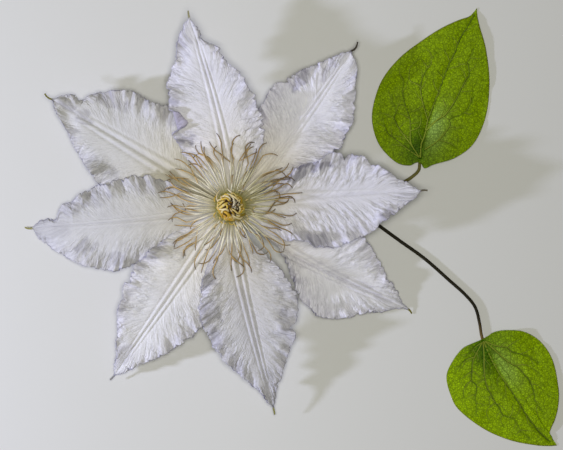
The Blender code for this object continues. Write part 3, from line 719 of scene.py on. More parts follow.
class CLEMATIS_OT_stamens(bpy.types.Operator):
    """Build the receptacle and its whorl of thread-like stamens"""
    bl_idname = "clematis.stamens"
    bl_label = "Stamens"

    def execute(self, context):
        settings = context.scene.clematis.stamens
        cream, olive, tan, brown = colours(settings, "cream", "olive", "tan", "brown")
        thin, wide = settings.filament / MM / 2, settings.anther / MM / 2
        bm, _, _ = new_surface()
        add_turned(bm, RECEPTACLE, 40, olive)
        draw = random.Random("stamen threads")
        for number in range(settings.count):
            heading, route, anther_from = stamen_route(draw, number, settings.count)
            widths = []
            for index in range(STAMEN_STEPS + 1):
                share = index / STAMEN_STEPS
                width = thin + (FILAMENT_TAPER * thin - thin) * share
                width += (wide - width) * smoothstep(anther_from - 0.06, anther_from + 0.05, share)
                width *= 1 - 0.45 * smoothstep(0.9, 1.0, share)
                widths.append(width)
            depths = [0.7 * width for width in widths]
            # Painted shadow: anthers browner, filaments more olive and feet darker on the side away from the
            # lamp; the anthers' age varies on its own.
            shadowed = 0.5 + 0.5 * math.cos(heading - SHADOWED_HEADING)
            age = draw.random() ** 1.5
            anther = blend(tan, brown, 0.45 * age + 0.3 * shadowed)
            thread = blend(cream, olive, 0.7 * shadowed ** 2)
            foot = tuple(channel * (1 - 0.45 * shadowed) for channel in olive)
            dark_tip = draw.uniform(0.7, 1.0)
            shaded_side = draw.choice((-1, 1))

            # Painted shade: each stamen is painted darker on one flank, olive along the filament and brown
            # over most of the anther, as if that side were turned from the light.
            def paint(share, around):
                turned = shaded_side * math.cos(around)
                colour = blend(foot, thread, smoothstep(0.0, 0.22, share))
                colour = blend(colour, olive, 0.45 * smoothstep(0.2, 0.9, turned))
                shaded_flank = blend(anther, brown, 0.95 * smoothstep(-0.15, 0.7, turned))
                colour = blend(colour, shaded_flank, smoothstep(anther_from - 0.12, anther_from + 0.10, share))
                return blend(colour, brown, dark_tip * smoothstep(0.9, 0.97, share))

            side = Vector((-math.sin(heading), math.cos(heading), 0.0))
            lay_rod(bm, 6, route, widths, depths, side, paint)
        make_piece("stamen_whorl", bm, (stamen_material("dried_anther_paper"),), "stamens")
        return {"FINISHED"}


# ---------------------------------------------------------------------------- styles

DOME_RADIUS = 3.9
DOME_LOW = RIM_HEIGHT + CLEARANCE
DOME_HEIGHT = 2.4
DOME_STEPS = 7
CROWN_TOP = 24.2
# How much lower a style lies for each square mm of its distance from the middle.
CROWN_FALL = 0.085
STYLE_STEPS = 12
HOOKED_STYLES = 26
# How far out from its foot a hooked style runs, and the share of its turn that it has made there.
HOOK_COURSE = ((0.0, 0.0), (0.9, 0.15), (1.5, 0.4), (1.2, 0.65))
HAIR_COUNT = 70
HAIR_SPREAD = 2.3
HAIR_LENGTH = 1.8
HAIR_WIDTHS = (0.18, 0.2, 0.18, 0.1)
# The middle of the hollow in the crown.
HOLLOW = (1.4, 0.8, 21.3)
POLLEN_COLOUR = "EFECE7"
# Each style: its radius, its tone from olive (0) over mustard and yellow to silky pale (1), and its course
# seen from above, in mm.
STYLES = (
    (0.60, 0.70, ((-4.3, -0.7), (-2.8, 0.5), (-1.1, 1.6))),
    (0.48, 0.74, ((-4.3, 0.7), (-3.4, 1.8), (-2.3, 2.4))),
    (0.46, 0.55, ((-4.4, 2.5), (-2.9, 3.1), (-1.3, 3.3), (-0.3, 2.1))),
    (0.42, 0.95, ((-4.0, 3.7), (-2.3, 4.3), (-0.6, 3.7), (0.0, 2.6))),
    (0.46, 0.85, ((-1.3, 5.2), (0.7, 4.4), (2.3, 3.3), (3.7, 1.9))),
    (0.30, 1.00, ((-0.2, 4.4), (1.3, 3.1), (1.5, 1.1), (0.9, 0.4))),
    (0.52, 0.85, ((-3.5, -2.8), (-2.9, -1.3), (-1.6, -1.0), (-0.6, -1.9))),
    (0.62, 0.45, ((-2.6, -1.9), (-1.3, -2.5), (0.0, -3.9), (1.6, -5.4))),
    (0.52, 0.36, ((-2.8, -3.2), (-1.3, -4.6), (0.4, -5.6))),
    (0.44, 0.92, ((0.5, -3.0), (1.9, -4.1), (3.6, -4.7), (4.9, -4.0))),
    (0.38, 0.80, ((0.1, -0.7), (1.6, -1.5), (2.9, -2.6), (3.9, -2.8))),
    (0.36, 0.85, ((3.5, 0.3), (3.9, -1.1), (3.2, -2.4))),
    (0.46, 0.12, ((4.2, 2.3), (4.7, 0.8), (4.6, -1.0))),
    (0.42, 0.10, ((0.7, -3.8), (2.3, -4.5), (3.9, -5.5))),
    (0.42, 0.08, ((2.9, -2.6), (4.6, -3.4), (5.9, -2.7))),
    (0.40, 0.20, ((-0.3, -0.4), (0.9, -2.2), (1.7, -3.4))),
    (0.36, 0.60, ((-1.9, 1.1), (-1.2, 0.1), (-1.4, -0.9))),
    (0.44, 0.15, ((2.2, 4.4), (3.6, 3.4), (4.6, 2.2))),
    (0.36, 0.90, ((-5.0, -0.6), (-3.7, -1.1), (-2.7, -0.8))),
    (0.26, 0.95, ((-4.2, 6.5), (-5.2, 5.3), (-5.4, 3.4), (-4.9, 1.8))),
    (0.26, 0.90, ((-4.9, 1.5), (-5.1, 0.2), (-4.4, -1.1))),
    (0.26, 0.75, ((-4.2, -3.9), (-4.1, -5.4), (-2.8, -6.8), (-1.6, -6.3))),
    (0.24, 0.70, ((-0.7, -6.1), (0.3, -7.0), (1.6, -6.6))),
    (0.24, 0.80, ((1.0, -5.9), (1.9, -7.4), (2.8, -7.2), (2.9, -5.7))),
    (0.24, 0.75, ((4.8, -5.3), (5.8, -6.8), (6.6, -6.9))),
    (0.24, 0.85, ((6.2, -3.2), (6.8, -4.0), (6.9, -5.3))),
    (0.28, 0.80, ((5.8, 2.4), (7.4, 3.1), (8.6, 2.5))),
    (0.26, 0.90, ((3.0, 6.3), (4.2, 6.5), (5.3, 6.0))),
    (0.30, 1.00, ((0.9, 5.4), (-0.6, 6.5), (-1.2, 7.3))),
    (0.28, 0.85, ((7.3, -1.1), (8.7, -0.8), (9.8, -0.1))),
    (0.24, 0.60, ((-5.6, 4.6), (-6.4, 3.2), (-6.2, 1.8))),
    (0.24, 0.70, ((-5.8, -2.2), (-6.6, -3.4), (-5.9, -4.6))),
)


class CLEMATIS_OT_styles(bpy.types.Operator):
    """Build the swirled crown of styles"""
    bl_idname = "clematis.styles"
    bl_label = "Styles"

    def execute(self, context):
        settings = context.scene.clematis.styles
        tones = colours(settings, "olive", "mustard", "yellow", "pale")
        mustard, pale = tones[1], tones[3]
        dark = tuple(settings.dark)
        bm, _, _ = new_surface()
        profile = [(0.0, DOME_LOW)]
        for step in range(DOME_STEPS):
            turn = QUARTER_TURN * step / DOME_STEPS
            profile.append((DOME_RADIUS * math.cos(turn), DOME_LOW + DOME_HEIGHT * math.sin(turn)))
        profile.append((0.0, DOME_LOW + DOME_HEIGHT))
        add_turned(bm, profile, 32, dark)

        def add_style(girth, tone, points):
            route = spline_route([(*point, 0.0) for point in points], STYLE_STEPS)
            widths = []
            for index, spot in enumerate(route):
                away = 2 * index / STYLE_STEPS - 1
                spot.z = CROWN_TOP - CROWN_FALL * (spot.x ** 2 + spot.y ** 2) - (1.0 + girth) * away ** 4
                spot.z = max(spot.z, DOME_LOW + girth)
                widths.append(girth * (1 - 0.45 * abs(away) ** 3))
            first = min(int(3 * tone), 2)
            body = blend(tones[first], tones[first + 1], 3 * tone - first)

            def paint(share, around):
                colour = blend(body, pale, 0.5 * smoothstep(0.3, 0.9, wave(8 * share, girth * 40, 1.0)))
                # Painted shade: the sides and underside of each style are painted mustard, darker than its
                # top.
                colour = blend(colour, mustard, 0.7 * smoothstep(0.5, 1.4, abs(around)))
                return blend(colour, dark, 0.75 * smoothstep(0.9, 1.0, share))

            lay_rod(bm, 8, route, widths, widths, UP, paint)

        for girth, tone, points in STYLES:
            add_style(girth, tone, points)
        draw = random.Random("styles")
        for number in range(HOOKED_STYLES):
            azimuth = 2 * math.pi * (number + draw.uniform(-0.3, 0.3)) / HOOKED_STYLES
            turned, out = draw.uniform(0.5, 1.0), draw.uniform(3.4, 4.1)
            girth = draw.uniform(0.24, 0.34)
            tone = draw.uniform(0.45, 1.0)
            points = []
            for reach, swing in HOOK_COURSE:
                heading = azimuth + swing * turned
                points.append(((out + reach) * math.cos(heading), (out + reach) * math.sin(heading)))
            add_style(girth, tone, points)
        # Silky hairs and pollen caught in the hollow of the crown.
        for _ in range(HAIR_COUNT):
            azimuth = draw.uniform(0, 2 * math.pi)
            out = HAIR_SPREAD * math.sqrt(draw.random())
            x, y, z = HOLLOW
            start = Vector((x + out * math.cos(azimuth), y + out * math.sin(azimuth), z))
            lean = Vector((draw.uniform(-0.5, 0.5), draw.uniform(-0.5, 0.5), draw.uniform(0.5, 1.2)))
            route = [start + lean * share * HAIR_LENGTH for share in (0.0, 0.33, 0.66, 1.0)]
            shade = draw.choice((pale, linear(POLLEN_COLOUR), dark, mustard, dark))
            lay_rod(bm, 4, route, HAIR_WIDTHS, HAIR_WIDTHS, Vector((1.0, 0.0, 0.0)),
                    lambda share, around: shade)
        make_piece("style_crown", bm, (stamen_material("silky_style_tissue"),), "pistil")
        return {"FINISHED"}


# ---------------------------------------------------------------------------- stalk

FLOWER_STALK_ROUTE = (
    (0.0, 0.0, 7.4), (0.0, 0.0, 6.9), (-0.3, 0.0, 6.4), (-1.9, 0.0, 5.6), (-3.6, 0.0, 4.4), (-4.1, 0.0, 2.9),
    (-3.2, 0.0, 1.5), (-1.0, 0.0, 1.05), (3.0, 0.0, 1.05), (12.0, 0.2, 1.1), (23.0, 0.6, 1.1),
    (36.0, 0.3, 1.3), (48.0, -0.4, 1.6), (55.0, -1.0, 1.6))
STALK_RADIUS = 1.5
STALK_STEPS = 90
NODE_ROUTE = ((44.5, -0.1, 1.6), (47.0, -0.3, 1.8), (49.5, -0.5, 1.9), (52.0, -0.7, 1.8), (54.0, -0.9, 1.6))
NODE_RADII = (1.3, 2.0, 2.4, 2.1, 1.3)
NODE_STEPS = 24
LONG_PETIOLE_ROUTE = (
    (49.5, -1.0, 1.9), (53.5, -3.4, 1.6), (58.8, -7.2, 1.1), (67.6, -13.6, 0.9), (77.6, -20.8, 0.9),
    (87.6, -29.6, 0.9), (93.6, -35.0, 0.9), (97.6, -40.0, 0.9), (99.3, -46.0, 0.9),
    (100.1, -51.0, 0.95), (101.0, -54.2, 1.0))
SHORT_PETIOLE_ROUTE = (
    (49.5, 0.2, 1.9), (54.0, 2.6, 1.5), (61.5, 6.2, 1.1), (68.8, 9.8, 0.9), (72.6, 12.2, 0.9),
    (75.0, 14.6, 0.9), (75.4, 17.2, 0.95), (75.6, 20.0, 1.0))
PETIOLE_RADIUS = 0.72
PETIOLE_TAPER = 0.14
PETIOLE_STEPS = 80


def stalk_material(name):
    """Young climber bark: a smooth, slightly glossy brown skin with fine ridges along the stalk."""
    material, add = start_material(name)
    tint = add("Attribute", attribute_name="tint")
    flow = add("Attribute", attribute_name="flow").outputs["Vector"]
    # The ridges are about 0.2 mm apart and 4 mm long on a leaf stalk.
    stretched = add("Mapping", {"Scale": (14.0, 2.2, 0.0)}, {"Vector": flow})
    streaks = add("TexNoise", {"Scale": 1.6, "Detail": 4.0, "Roughness": 0.6}, {"Vector": stretched})
    shade = add(
        "MapRange", {"From Min": 0.3, "From Max": 0.7, "To Min": 0.6, "To Max": 1.35}, {"Value": streaks})
    colour = add("VectorMath", links={0: tint, 1: shade}, operation="MULTIPLY")
    bump = add("Bump", {"Strength": 0.5, "Distance": 0.0002}, {"Height": streaks})
    shader = add(
        "BsdfPrincipled", {"Roughness": 0.5, "IOR": 1.46, "Specular IOR Level": 0.12},
        {"Base Color": colour, "Normal": bump})
    add("OutputMaterial", links={"Surface": shader})
    return material


class CLEMATIS_OT_stalk(bpy.types.Operator):
    """Build the flower's stalk, the stem node and the two leaf stalks"""
    bl_idname = "clematis.stalk"
    bl_label = "Stalk"

    def execute(self, context):
        brown, olive, tan = colours(context.scene.clematis.stalk, "brown", "olive", "tan")
        sideways = Vector((0.0, 1.0, 0.0))
        bm, _, _ = new_surface()
        radii = [STALK_RADIUS * (1 + 0.05 * math.sin(2.1 * step) * math.sin(0.37 * step))
                 for step in range(STALK_STEPS + 1)]
        lay_rod(bm, 18, spline_route(FLOWER_STALK_ROUTE, STALK_STEPS), radii, radii, sideways,
                lambda share, around: blend(olive, brown, smoothstep(0.15, 0.6, share)), 0.0)
        last = len(NODE_RADII) - 1
        radii = [spline_point(NODE_RADII, last * step / NODE_STEPS) for step in range(NODE_STEPS + 1)]
        lay_rod(bm, 18, spline_route(NODE_ROUTE, NODE_STEPS), radii, radii, sideways,
                lambda share, around: blend(brown, tan, 0.5 * math.sin(math.pi * share)), 0.0)
        radii = [PETIOLE_RADIUS - PETIOLE_TAPER * step / PETIOLE_STEPS for step in range(PETIOLE_STEPS + 1)]
        for route, near, far in ((LONG_PETIOLE_ROUTE, brown, tan), (SHORT_PETIOLE_ROUTE, olive, olive)):
            lay_rod(bm, 12, spline_route(route, PETIOLE_STEPS), radii, radii, UP,
                    lambda share, around: blend(near, far, smoothstep(0.75, 0.95, share)), 0.0)
        make_piece("stalk_and_leaf_stalks", bm, (stalk_material("young_climber_bark"),), "stalk")
        return {"FINISHED"}


# ---------------------------------------------------------------------------- leaves

# A leaf: the foot of its blade, heading, length, heights of foot and tip, how much it arches, sags at its
# margins and lifts a lobe, on which side, how far its midrib bows to the left, how strong the painted sheen
# of the lamp on it is and how bright it is, its outline, and each vein's radius and course, in mm along and
# to the left.
Leaf = namedtuple(
    "Leaf",
    "name base heading length base_z tip_z arch sag lift lift_side bow waxy tone outline veins")
LEAVES = (
    Leaf("leaf_upper", (75.4, 18.8), 69.3, 65.0, 2.75, 0.9, 0.8, 2.6, 0.8, -1, 3.0, 0.6, 1.0, (
        (65.0, 0.0), (61.0, 1.5), (57.8, 5.2), (51.9, 10.9), (44.2, 16.5), (35.6, 21.8),
        (25.5, 25.2), (15.7, 25.3), (7.5, 23.1), (0.0, 17.3), (-4.1, 9.0), (-3.7, 3.3),
        (-1.5, 0.9), (-1.2, -0.9), (-2.4, -3.2), (0.3, -6.0), (5.8, -13.0), (14.1, -18.0),
        (26.2, -18.6), (39.1, -15.1), (50.6, -9.3), (57.9, -4.0), (62.0, -1.3)), (
        (0.34, ((1, 0), (6, 1.5), (10, 1.5), (16, 2.5), (19.5, 2.5), (26, 2.5), (32.5, 2.5), (39.5, 2.5),
                (45, 2), (51, 2), (56, 1), (62, 0))),
        (0.26, ((16, 2.5), (20.5, 6), (24.5, 8.5), (27.5, 10), (32, 10.5), (35.5, 10), (39, 9.5), (42.5, 9))),
        (0.26, ((1, 0.5), (5, 5.5), (9.5, 7.5), (14, 9.5), (19, 13.5), (23, 16), (27, 17), (28.5, 18.5))),
        (0.24, ((1, 0.5), (5, 6), (7.5, 10), (10, 13.5), (12.5, 15.5), (15, 15.5), (18, 18.5), (20.5, 19.5))),
        (0.22, ((1, 0.5), (2.5, 6.5), (4, 11), (5.5, 15.5), (8, 18), (10.5, 19.5))),
        (0.26, ((12, 1.5), (17.5, -1), (20, -3), (23, -4), (27.5, -5), (32.5, -5.5), (36.5, -6), (38.5, -6.5),
                (42, -5), (43, -4), (46, -4.5), (49.5, -4.5))),
        (0.24, ((4.5, -0.5), (9.5, -4), (13, -5.5), (17.5, -6.5), (19.5, -5.5), (24, -10), (28, -11),
                (31.5, -11))),
        (0.16, ((16.5, -6.5), (18.5, -12))), (0.16, ((38, 2), (40, -0.5), (42, -2.5), (43, -4))),
        (0.16, ((23.5, -2.5), (25.5, -0.5), (27.5, 0.5))), (0.16, ((41.5, 3), (43.5, 5), (44.5, 6.5))),
        (0.16, ((27.5, 9.5), (28, 12.5), (28.5, 15), (32.5, 16.5), (36, 15.5), (38, 14))),
        (0.16, ((20.5, 6.5), (18, 8.5), (16.5, 10))), (0.16, ((14, 9.5), (14.5, 12.5), (14.5, 15.5))),
        (0.16, ((9.5, 7.5), (12, 5), (14.5, 5), (16.5, 6))), (0.16, ((10, -4.5), (10.5, -8.5), (10, -11.5))),
        (0.14, ((24, -10), (24, -13))), (0.14, ((28, 2.5), (30, 5), (32, 6.5))),
        (0.14, ((35.5, 10), (38, 13.5))), (0.14, ((31.5, -6), (33.5, -10.5))))),
    Leaf("leaf_lower", (100.8, -53.6), -53.9, 51.0, 2.75, 0.9, 0.8, 2.6, 0.7, 1, -3.0, 0.34, 1.1, (
        (51.2, -0.7), (49.3, -0.6), (46.3, -0.4), (44.6, 0.8), (41.9, 5.2), (38.4, 9.2),
        (33.3, 13.1), (22.9, 17.9), (14.1, 18.5), (7.0, 15.7), (2.3, 10.7), (-0.3, 6.0),
        (-0.6, 2.4), (-1.1, -0.9), (-2.0, -4.7), (-2.5, -8.6), (-0.9, -14.2), (2.6, -20.0),
        (9.4, -23.1), (16.7, -24.0), (28.7, -20.4), (38.4, -14.6), (45.9, -7.7), (49.6, -3.2)), (
        (0.34, ((0, 0), (7, -1.5), (14.5, -2.5), (21, -2.5), (28, -3), (34, -3.5), (39.5, -3.5), (44, -3),
                (48, -2.2))),
        (0.28, ((0.5, -0.5), (4.5, -3), (8, -5.5), (12, -8), (15.5, -9.5), (19, -10), (22.5, -10.5),
                (25.5, -10.5), (28.5, -11), (32, -8.5), (34.5, -8.5), (37.5, -9), (42, -8))),
        (0.26, ((0, -0.5), (1.5, -3.5), (3, -6.5), (4.5, -8.5), (7.5, -11), (10, -13), (12.5, -12.5),
                (14.5, -14), (16.5, -16), (19.5, -17.5), (22, -19.5))),
        (0.2, ((0, -1), (0, -4), (0.5, -7), (0.5, -9))), (0.2, ((3, -6.5), (2, -9.5), (2, -12), (3, -15))),
        (0.26, ((0.5, 0.5), (5.5, 1.5), (10, 2.5), (13.5, 3.5), (16.5, 5), (21, 5.5), (24.5, 5.5),
                (27.5, 4.5), (30, 3.5), (31.5, 2.5), (34, 2.5), (37, 2.5))),
        (0.24, ((0.5, 0.5), (4.5, 3), (7.5, 6), (10.5, 7), (13.5, 9.5), (16.5, 11.5), (20, 12.5))),
        (0.16, ((7.5, 6), (7.5, 9), (8, 12.5))), (0.16, ((15.5, 5), (17.5, 8), (20.5, 9.5), (25, 10.5))),
        (0.16, ((12.5, -8.5), (12.5, -12.5))), (0.18, ((10, -13), (10, -15.5), (11.5, -18), (14, -19.5))),
        (0.16, ((22.5, -10.5), (23.5, -15.5), (27.5, -16.5))), (0.16, ((28.5, -3), (30.5, -4), (32.5, -8))),
        (0.14, ((15, -3), (16, -5), (18, -6))), (0.14, ((28.5, -11), (29.5, -13), (32.5, -13.5))),
        (0.14, ((37.5, -9), (38, -11.5))), (0.16, ((7, -11), (7, -14.5), (7, -16.5))),
        (0.14, ((22.5, -10.5), (20, -11), (18, -13))))),
)
LEAF_HUB = 8.0
LEAF_SPOKES = 300
LEAF_RINGS = 56
LEAF_LOW = 0.34
MIDRIB_RADIUS = 0.34
MIDRIB_GROOVE = 0.7
# Side veins: how thick a vein must be to carry them, their radius, the first point of its route with one
# and the points between two of them, the number and length of their steps, and how far from the outline
# they stop.
SMALLEST_BRANCHING = 0.2
SIDE_VEIN_RADIUS = 0.12
FIRST_SIDE_VEIN = 7
SIDE_VEIN_SPACING = 6
SIDE_VEIN_STEPS = (5, 9)
SIDE_VEIN_STEP = 0.75
SIDE_VEIN_CLEARANCE = 1.5
# A raised vein's half width beside its radius, its depth beside its half width, and how far its middle
# stands over the blade.
VEIN_SPREAD = 1.5
VEIN_FLATNESS = 0.35
VEIN_RISE = 0.06
VEIN_LOW = 0.1
QUILT_DEPTH = 0.3
QUILT_UNEVENNESS = 0.1
# How far a lobe reaches from the foot, and the waves of the blade outside the midrib's own fold.
LOBE_SPOT, LOBE_REACH = 4.0, 9.0
LEAF_WAVE_HEIGHT = 0.5
MIDRIB_GROOVE_WIDTH = 2.5


def leaf_height(spec, along, left):
    """Height of a leaf's upper face in mm, as its plain solid has it."""
    share = min(max(along / spec.length, 0.0), 1.0)
    midrib = spec.bow * math.sin(math.pi * share)
    height = spec.base_z + (spec.tip_z - spec.base_z) * share
    height += spec.arch * math.sin(math.pi * share) ** 0.8
    height -= spec.sag * ((left - midrib) / 22.0) ** 2
    groove = math.exp(-(((left - midrib) / MIDRIB_GROOVE_WIDTH) ** 2))
    height -= MIDRIB_GROOVE * groove * smoothstep(0.05, 0.2, share)
    lobe = math.exp(-(((along - LOBE_SPOT) / LOBE_REACH) ** 2))
    height += spec.lift * lobe * smoothstep(2.0, 11.0, spec.lift_side * left)
    height += LEAF_WAVE_HEIGHT * math.sin(along / 4.2 + left / 7.0) * smoothstep(8.0, 20.0, abs(left))
    return max(height, LEAF_LOW)


def leaf_material(name, vein):
    """A waxy leaf: yellow-green cells between a fine darker net, with a faint oily gloss."""
    material, add = start_material(name)
    tint = add("Attribute", attribute_name="tint")
    place = add("TexCoord").outputs["Object"]
    # The net of small veins has meshes of about 1.8 mm, with finer ones of 0.8 mm inside.
    warp = add("TexNoise", {"Scale": 320.0, "Detail": 2.0}, {"Vector": place})
    warped = add(
        "Mix", {0: 0.0012}, {4: place, 5: warp.outputs["Color"]}, data_type="VECTOR").outputs[1]
    net, small = (
        add("TexVoronoi", {"Scale": scale, "Randomness": 1.0}, {"Vector": warped},
            feature="DISTANCE_TO_EDGE") for scale in (560.0, 1250.0))
    mottle = add("TexNoise", {"Scale": 900.0, "Detail": 3.0, "Roughness": 0.6}, {"Vector": place})
    cells = add(
        "MapRange", {"From Min": 0.0, "From Max": 0.14, "To Min": 0.72, "To Max": 1.06}, {"Value": net})
    grain = add(
        "MapRange", {"From Min": 0.0, "From Max": 0.28, "To Min": 0.6, "To Max": 1.2}, {"Value": small})
    cloud = add(
        "MapRange", {"From Min": 0.3, "From Max": 0.7, "To Min": 0.86, "To Max": 1.14}, {"Value": mottle})
    both = add("Math", links={0: cells, 1: grain}, operation="MULTIPLY")
    all_three = add("Math", links={0: both, 1: cloud}, operation="MULTIPLY")
    colour = add("VectorMath", links={0: tint, 1: cloud if vein else all_three}, operation="MULTIPLY")
    net_bump = add("Bump", {"Strength": 0.5, "Distance": 0.0003}, {"Height": cells})
    bump = add("Bump", {"Strength": 0.3, "Distance": 0.0001}, {"Height": grain, "Normal": net_bump})
    shader = add(
        "BsdfPrincipled", {"Roughness": 0.5, "IOR": 1.4, "Specular IOR Level": 0.08},
        {"Base Color": colour, "Normal": bump})
    add("OutputMaterial", links={"Surface": shader})
    return material


def vein_segments(spec):
    """Each vein's radius and its smoothed route in mm along and to the left, with small side veins that
    leave the larger ones on alternate sides and stop short of the outline."""
    segments = [(radius, spline_route(points, 5 * (len(points) - 1))) for radius, points in spec.veins]
    hub = Vector((LEAF_HUB, 0.0))
    rim = [point - hub for point in spline_route((*spec.outline, spec.outline[0]), 8 * len(spec.outline))]
    draw = random.Random(f"{spec.name} side veins")
    small = []
    for radius, route in segments:
        if radius < SMALLEST_BRANCHING:
            continue
        for index in range(FIRST_SIDE_VEIN, len(route) - 2, SIDE_VEIN_SPACING):
            ahead = (route[index + 1] - route[index - 1]).normalized()
            side = 1 if (index // SIDE_VEIN_SPACING) % 2 else -1
            lean = side * draw.uniform(0.7, 1.2)
            line = [route[index].copy()]
            for _ in range(draw.randint(*SIDE_VEIN_STEPS)):
                lean += draw.uniform(-0.35, 0.25) * side
                step = Matrix.Rotation(lean, 2) @ ahead * SIDE_VEIN_STEP
                away = line[-1] + step - hub
                near = min(rim, key=lambda point: abs(point.normalized().cross(away.normalized()))
                           if point.dot(away) > 0 else 9.0)
                if away.length > near.length - SIDE_VEIN_CLEARANCE:
                    break
                line.append(line[-1] + step)
            if len(line) > 3:
                small.append((SIDE_VEIN_RADIUS, line))
    return segments + small


def vein_depth(segments, spot):
    """How strongly the blade is drawn in at a spot, 0 to 1, by the vein nearest to it."""
    pull = 0.0
    for radius, route in segments:
        nearest = min((point - spot).length_squared for point in route)
        pull = max(pull, radius / MIDRIB_RADIUS * math.exp(-nearest / (0.08 + 0.7 * radius)))
    return pull


class CLEMATIS_OT_leaves(bpy.types.Operator):
    """Build the two net-veined leaves"""
    bl_idname = "clematis.leaves"
    bl_label = "Leaves"

    def execute(self, context):
        settings = context.scene.clematis.leaves
        green, dark, light, painted_sheen, rim_brown = colours(settings, "green", "dark", "light", "painted_sheen", "rim")
        vein_shade = tuple(0.55 * channel for channel in dark)
        blade_material = leaf_material("waxed_leaf_skin", False)
        vein_material = leaf_material("leaf_vein", True)
        for spec in LEAVES:
            outline = [Vector(point) for point in spec.outline]
            outline.append(outline[0])
            hub = Vector((LEAF_HUB, 0.0))
            base = Vector((*spec.base, 0.0))
            turn = Matrix.Rotation(math.radians(spec.heading), 3, "Z")
            segments = vein_segments(spec)

            def height_at(spot, pull):
                quilt = QUILT_DEPTH * pull - QUILT_UNEVENNESS * patch(spot.x, spot.y, 5, 3.0)
                return max(leaf_height(spec, spot.x, spot.y) - quilt, LEAF_LOW)

            bm, tint, _ = new_surface()
            bmesh.ops.create_circle(bm, cap_ends=True, cap_tris=True, segments=LEAF_SPOKES, radius=1.0)
            spokes = [edge for edge in bm.edges if min(vert.co.length for vert in edge.verts) < 0.01]
            bmesh.ops.subdivide_edges(bm, edges=spokes, cuts=LEAF_RINGS - 1)
            first = min(bm.verts, key=lambda vert: (Vector((1.0, 0.0, 0.0)) - vert.co).length)
            start = math.atan2(first.co.y, first.co.x)
            bmesh.ops.rotate(bm, verts=bm.verts, matrix=Matrix.Rotation(-start, 3, "Z"))
            for vert in bm.verts:
                reach = math.hypot(vert.co.x, vert.co.y)
                position = (math.atan2(vert.co.y, vert.co.x) / (2 * math.pi)) % 1.0 * (len(outline) - 1)
                spot = hub
                if reach > 1e-6:
                    spot = hub.lerp(spline_point(outline, position), min(reach, 1.0))
                pull = vein_depth(segments, spot)
                vert.co = base + turn @ Vector((spot.x, spot.y, height_at(spot, pull)))
                # Painted shade: darker beside the veins, near the stalk where the raised lobe's shadow falls,
                # and beside the midrib near the foot on the side away from the lifted lobe.
                shadow_near_stalk = math.exp(-((spot.x - 1.0) ** 2 + (0.8 * spot.y) ** 2) / 90.0)
                beside = spec.lift_side * (spot.y - spec.bow * math.sin(math.pi * spot.x / spec.length))
                shade_beside_midrib = math.exp(-((spot.x - 7.0) / 10.0) ** 2 - ((beside + 2.5) / 4.0) ** 2)
                colour = blend(green, dark, 0.65 * pull + 0.4 * shadow_near_stalk + 0.5 * shade_beside_midrib)
                # Painted sheen: a pale reflection of the lamp on the lifted half beside the midrib, weaker
                # over the veins.
                waxy = math.exp(-(((spot.x - 14.0) / 8.0) ** 2 + ((beside - 3.0) / 4.5) ** 2))
                waxy *= smoothstep(0.0, 1.4, beside) * (1 - 0.6 * pull)
                colour = blend(colour, painted_sheen, spec.waxy * waxy)
                colour = blend(colour, rim_brown, 0.45 * smoothstep(0.98, 1.0, reach))
                vert[tint] = (*(spec.tone * channel for channel in colour), 1.0)
            piece = make_piece(f"{spec.name}_blade", bm, (blade_material,), spec.name)
            thicken(piece, settings.sheet, -1.0)

            bm, _, _ = new_surface()
            for radius, route in segments:
                line = []
                for spot in route:
                    height = height_at(spot, vein_depth(segments, spot)) + VEIN_RISE
                    line.append(base + turn @ Vector((spot.x, spot.y, height)))
                slender, sinking = (0.6, 0.4) if radius < MIDRIB_RADIUS else (0.45, 0.0)
                widths = [VEIN_SPREAD * radius * (1 - slender * index / len(route))
                          for index in range(len(route))]
                depths = [VEIN_FLATNESS * width for width in widths]
                across = UP.cross(line[-1] - line[0]).normalized()
                faded = 0.75 if radius < SMALLEST_BRANCHING else 0.3

                # Painted light and shade: one half of each vein is painted in the light colour as if lit, the
                # rest in the dark shade of its flank.
                def paint(share, around):
                    lit = math.exp(-(((math.cos(around) - 0.5) / 0.5) ** 2))
                    lit *= 1 - 0.55 * smoothstep(faded - 0.2, faded + 0.3, share)
                    shaded_flank = blend(vein_shade, green, sinking * smoothstep(0.45, 1.0, share))
                    return blend(shaded_flank, light, lit)

                lay_rod(bm, 6, line, widths, depths, across, paint, VEIN_LOW)
            make_piece(f"{spec.name}_veins", bm, (vein_material,), spec.name)
        return {"FINISHED"}


# ---------------------------------------------------------------------------- stage

FLOOR_HALF_WIDTH = 3.0
# How much of the surface the camera sees, and the spot that it looks at.
FRAME_WIDTH = 225.2
CAMERA_CENTRE = (20.2, -7.2)
SENSOR_WIDTH = 36.0
LAMP_DISTANCE = 600.0
LAMP_HEADING = 191.0
LAMP_SIZE = 45.0
LAMP_COLOUR = "DDE1FF"
PANEL_SIZE = 320.0
PANEL_SPOT = (10.0, -5.0, 1300.0)
PANEL_COLOUR = "FFFEF2"


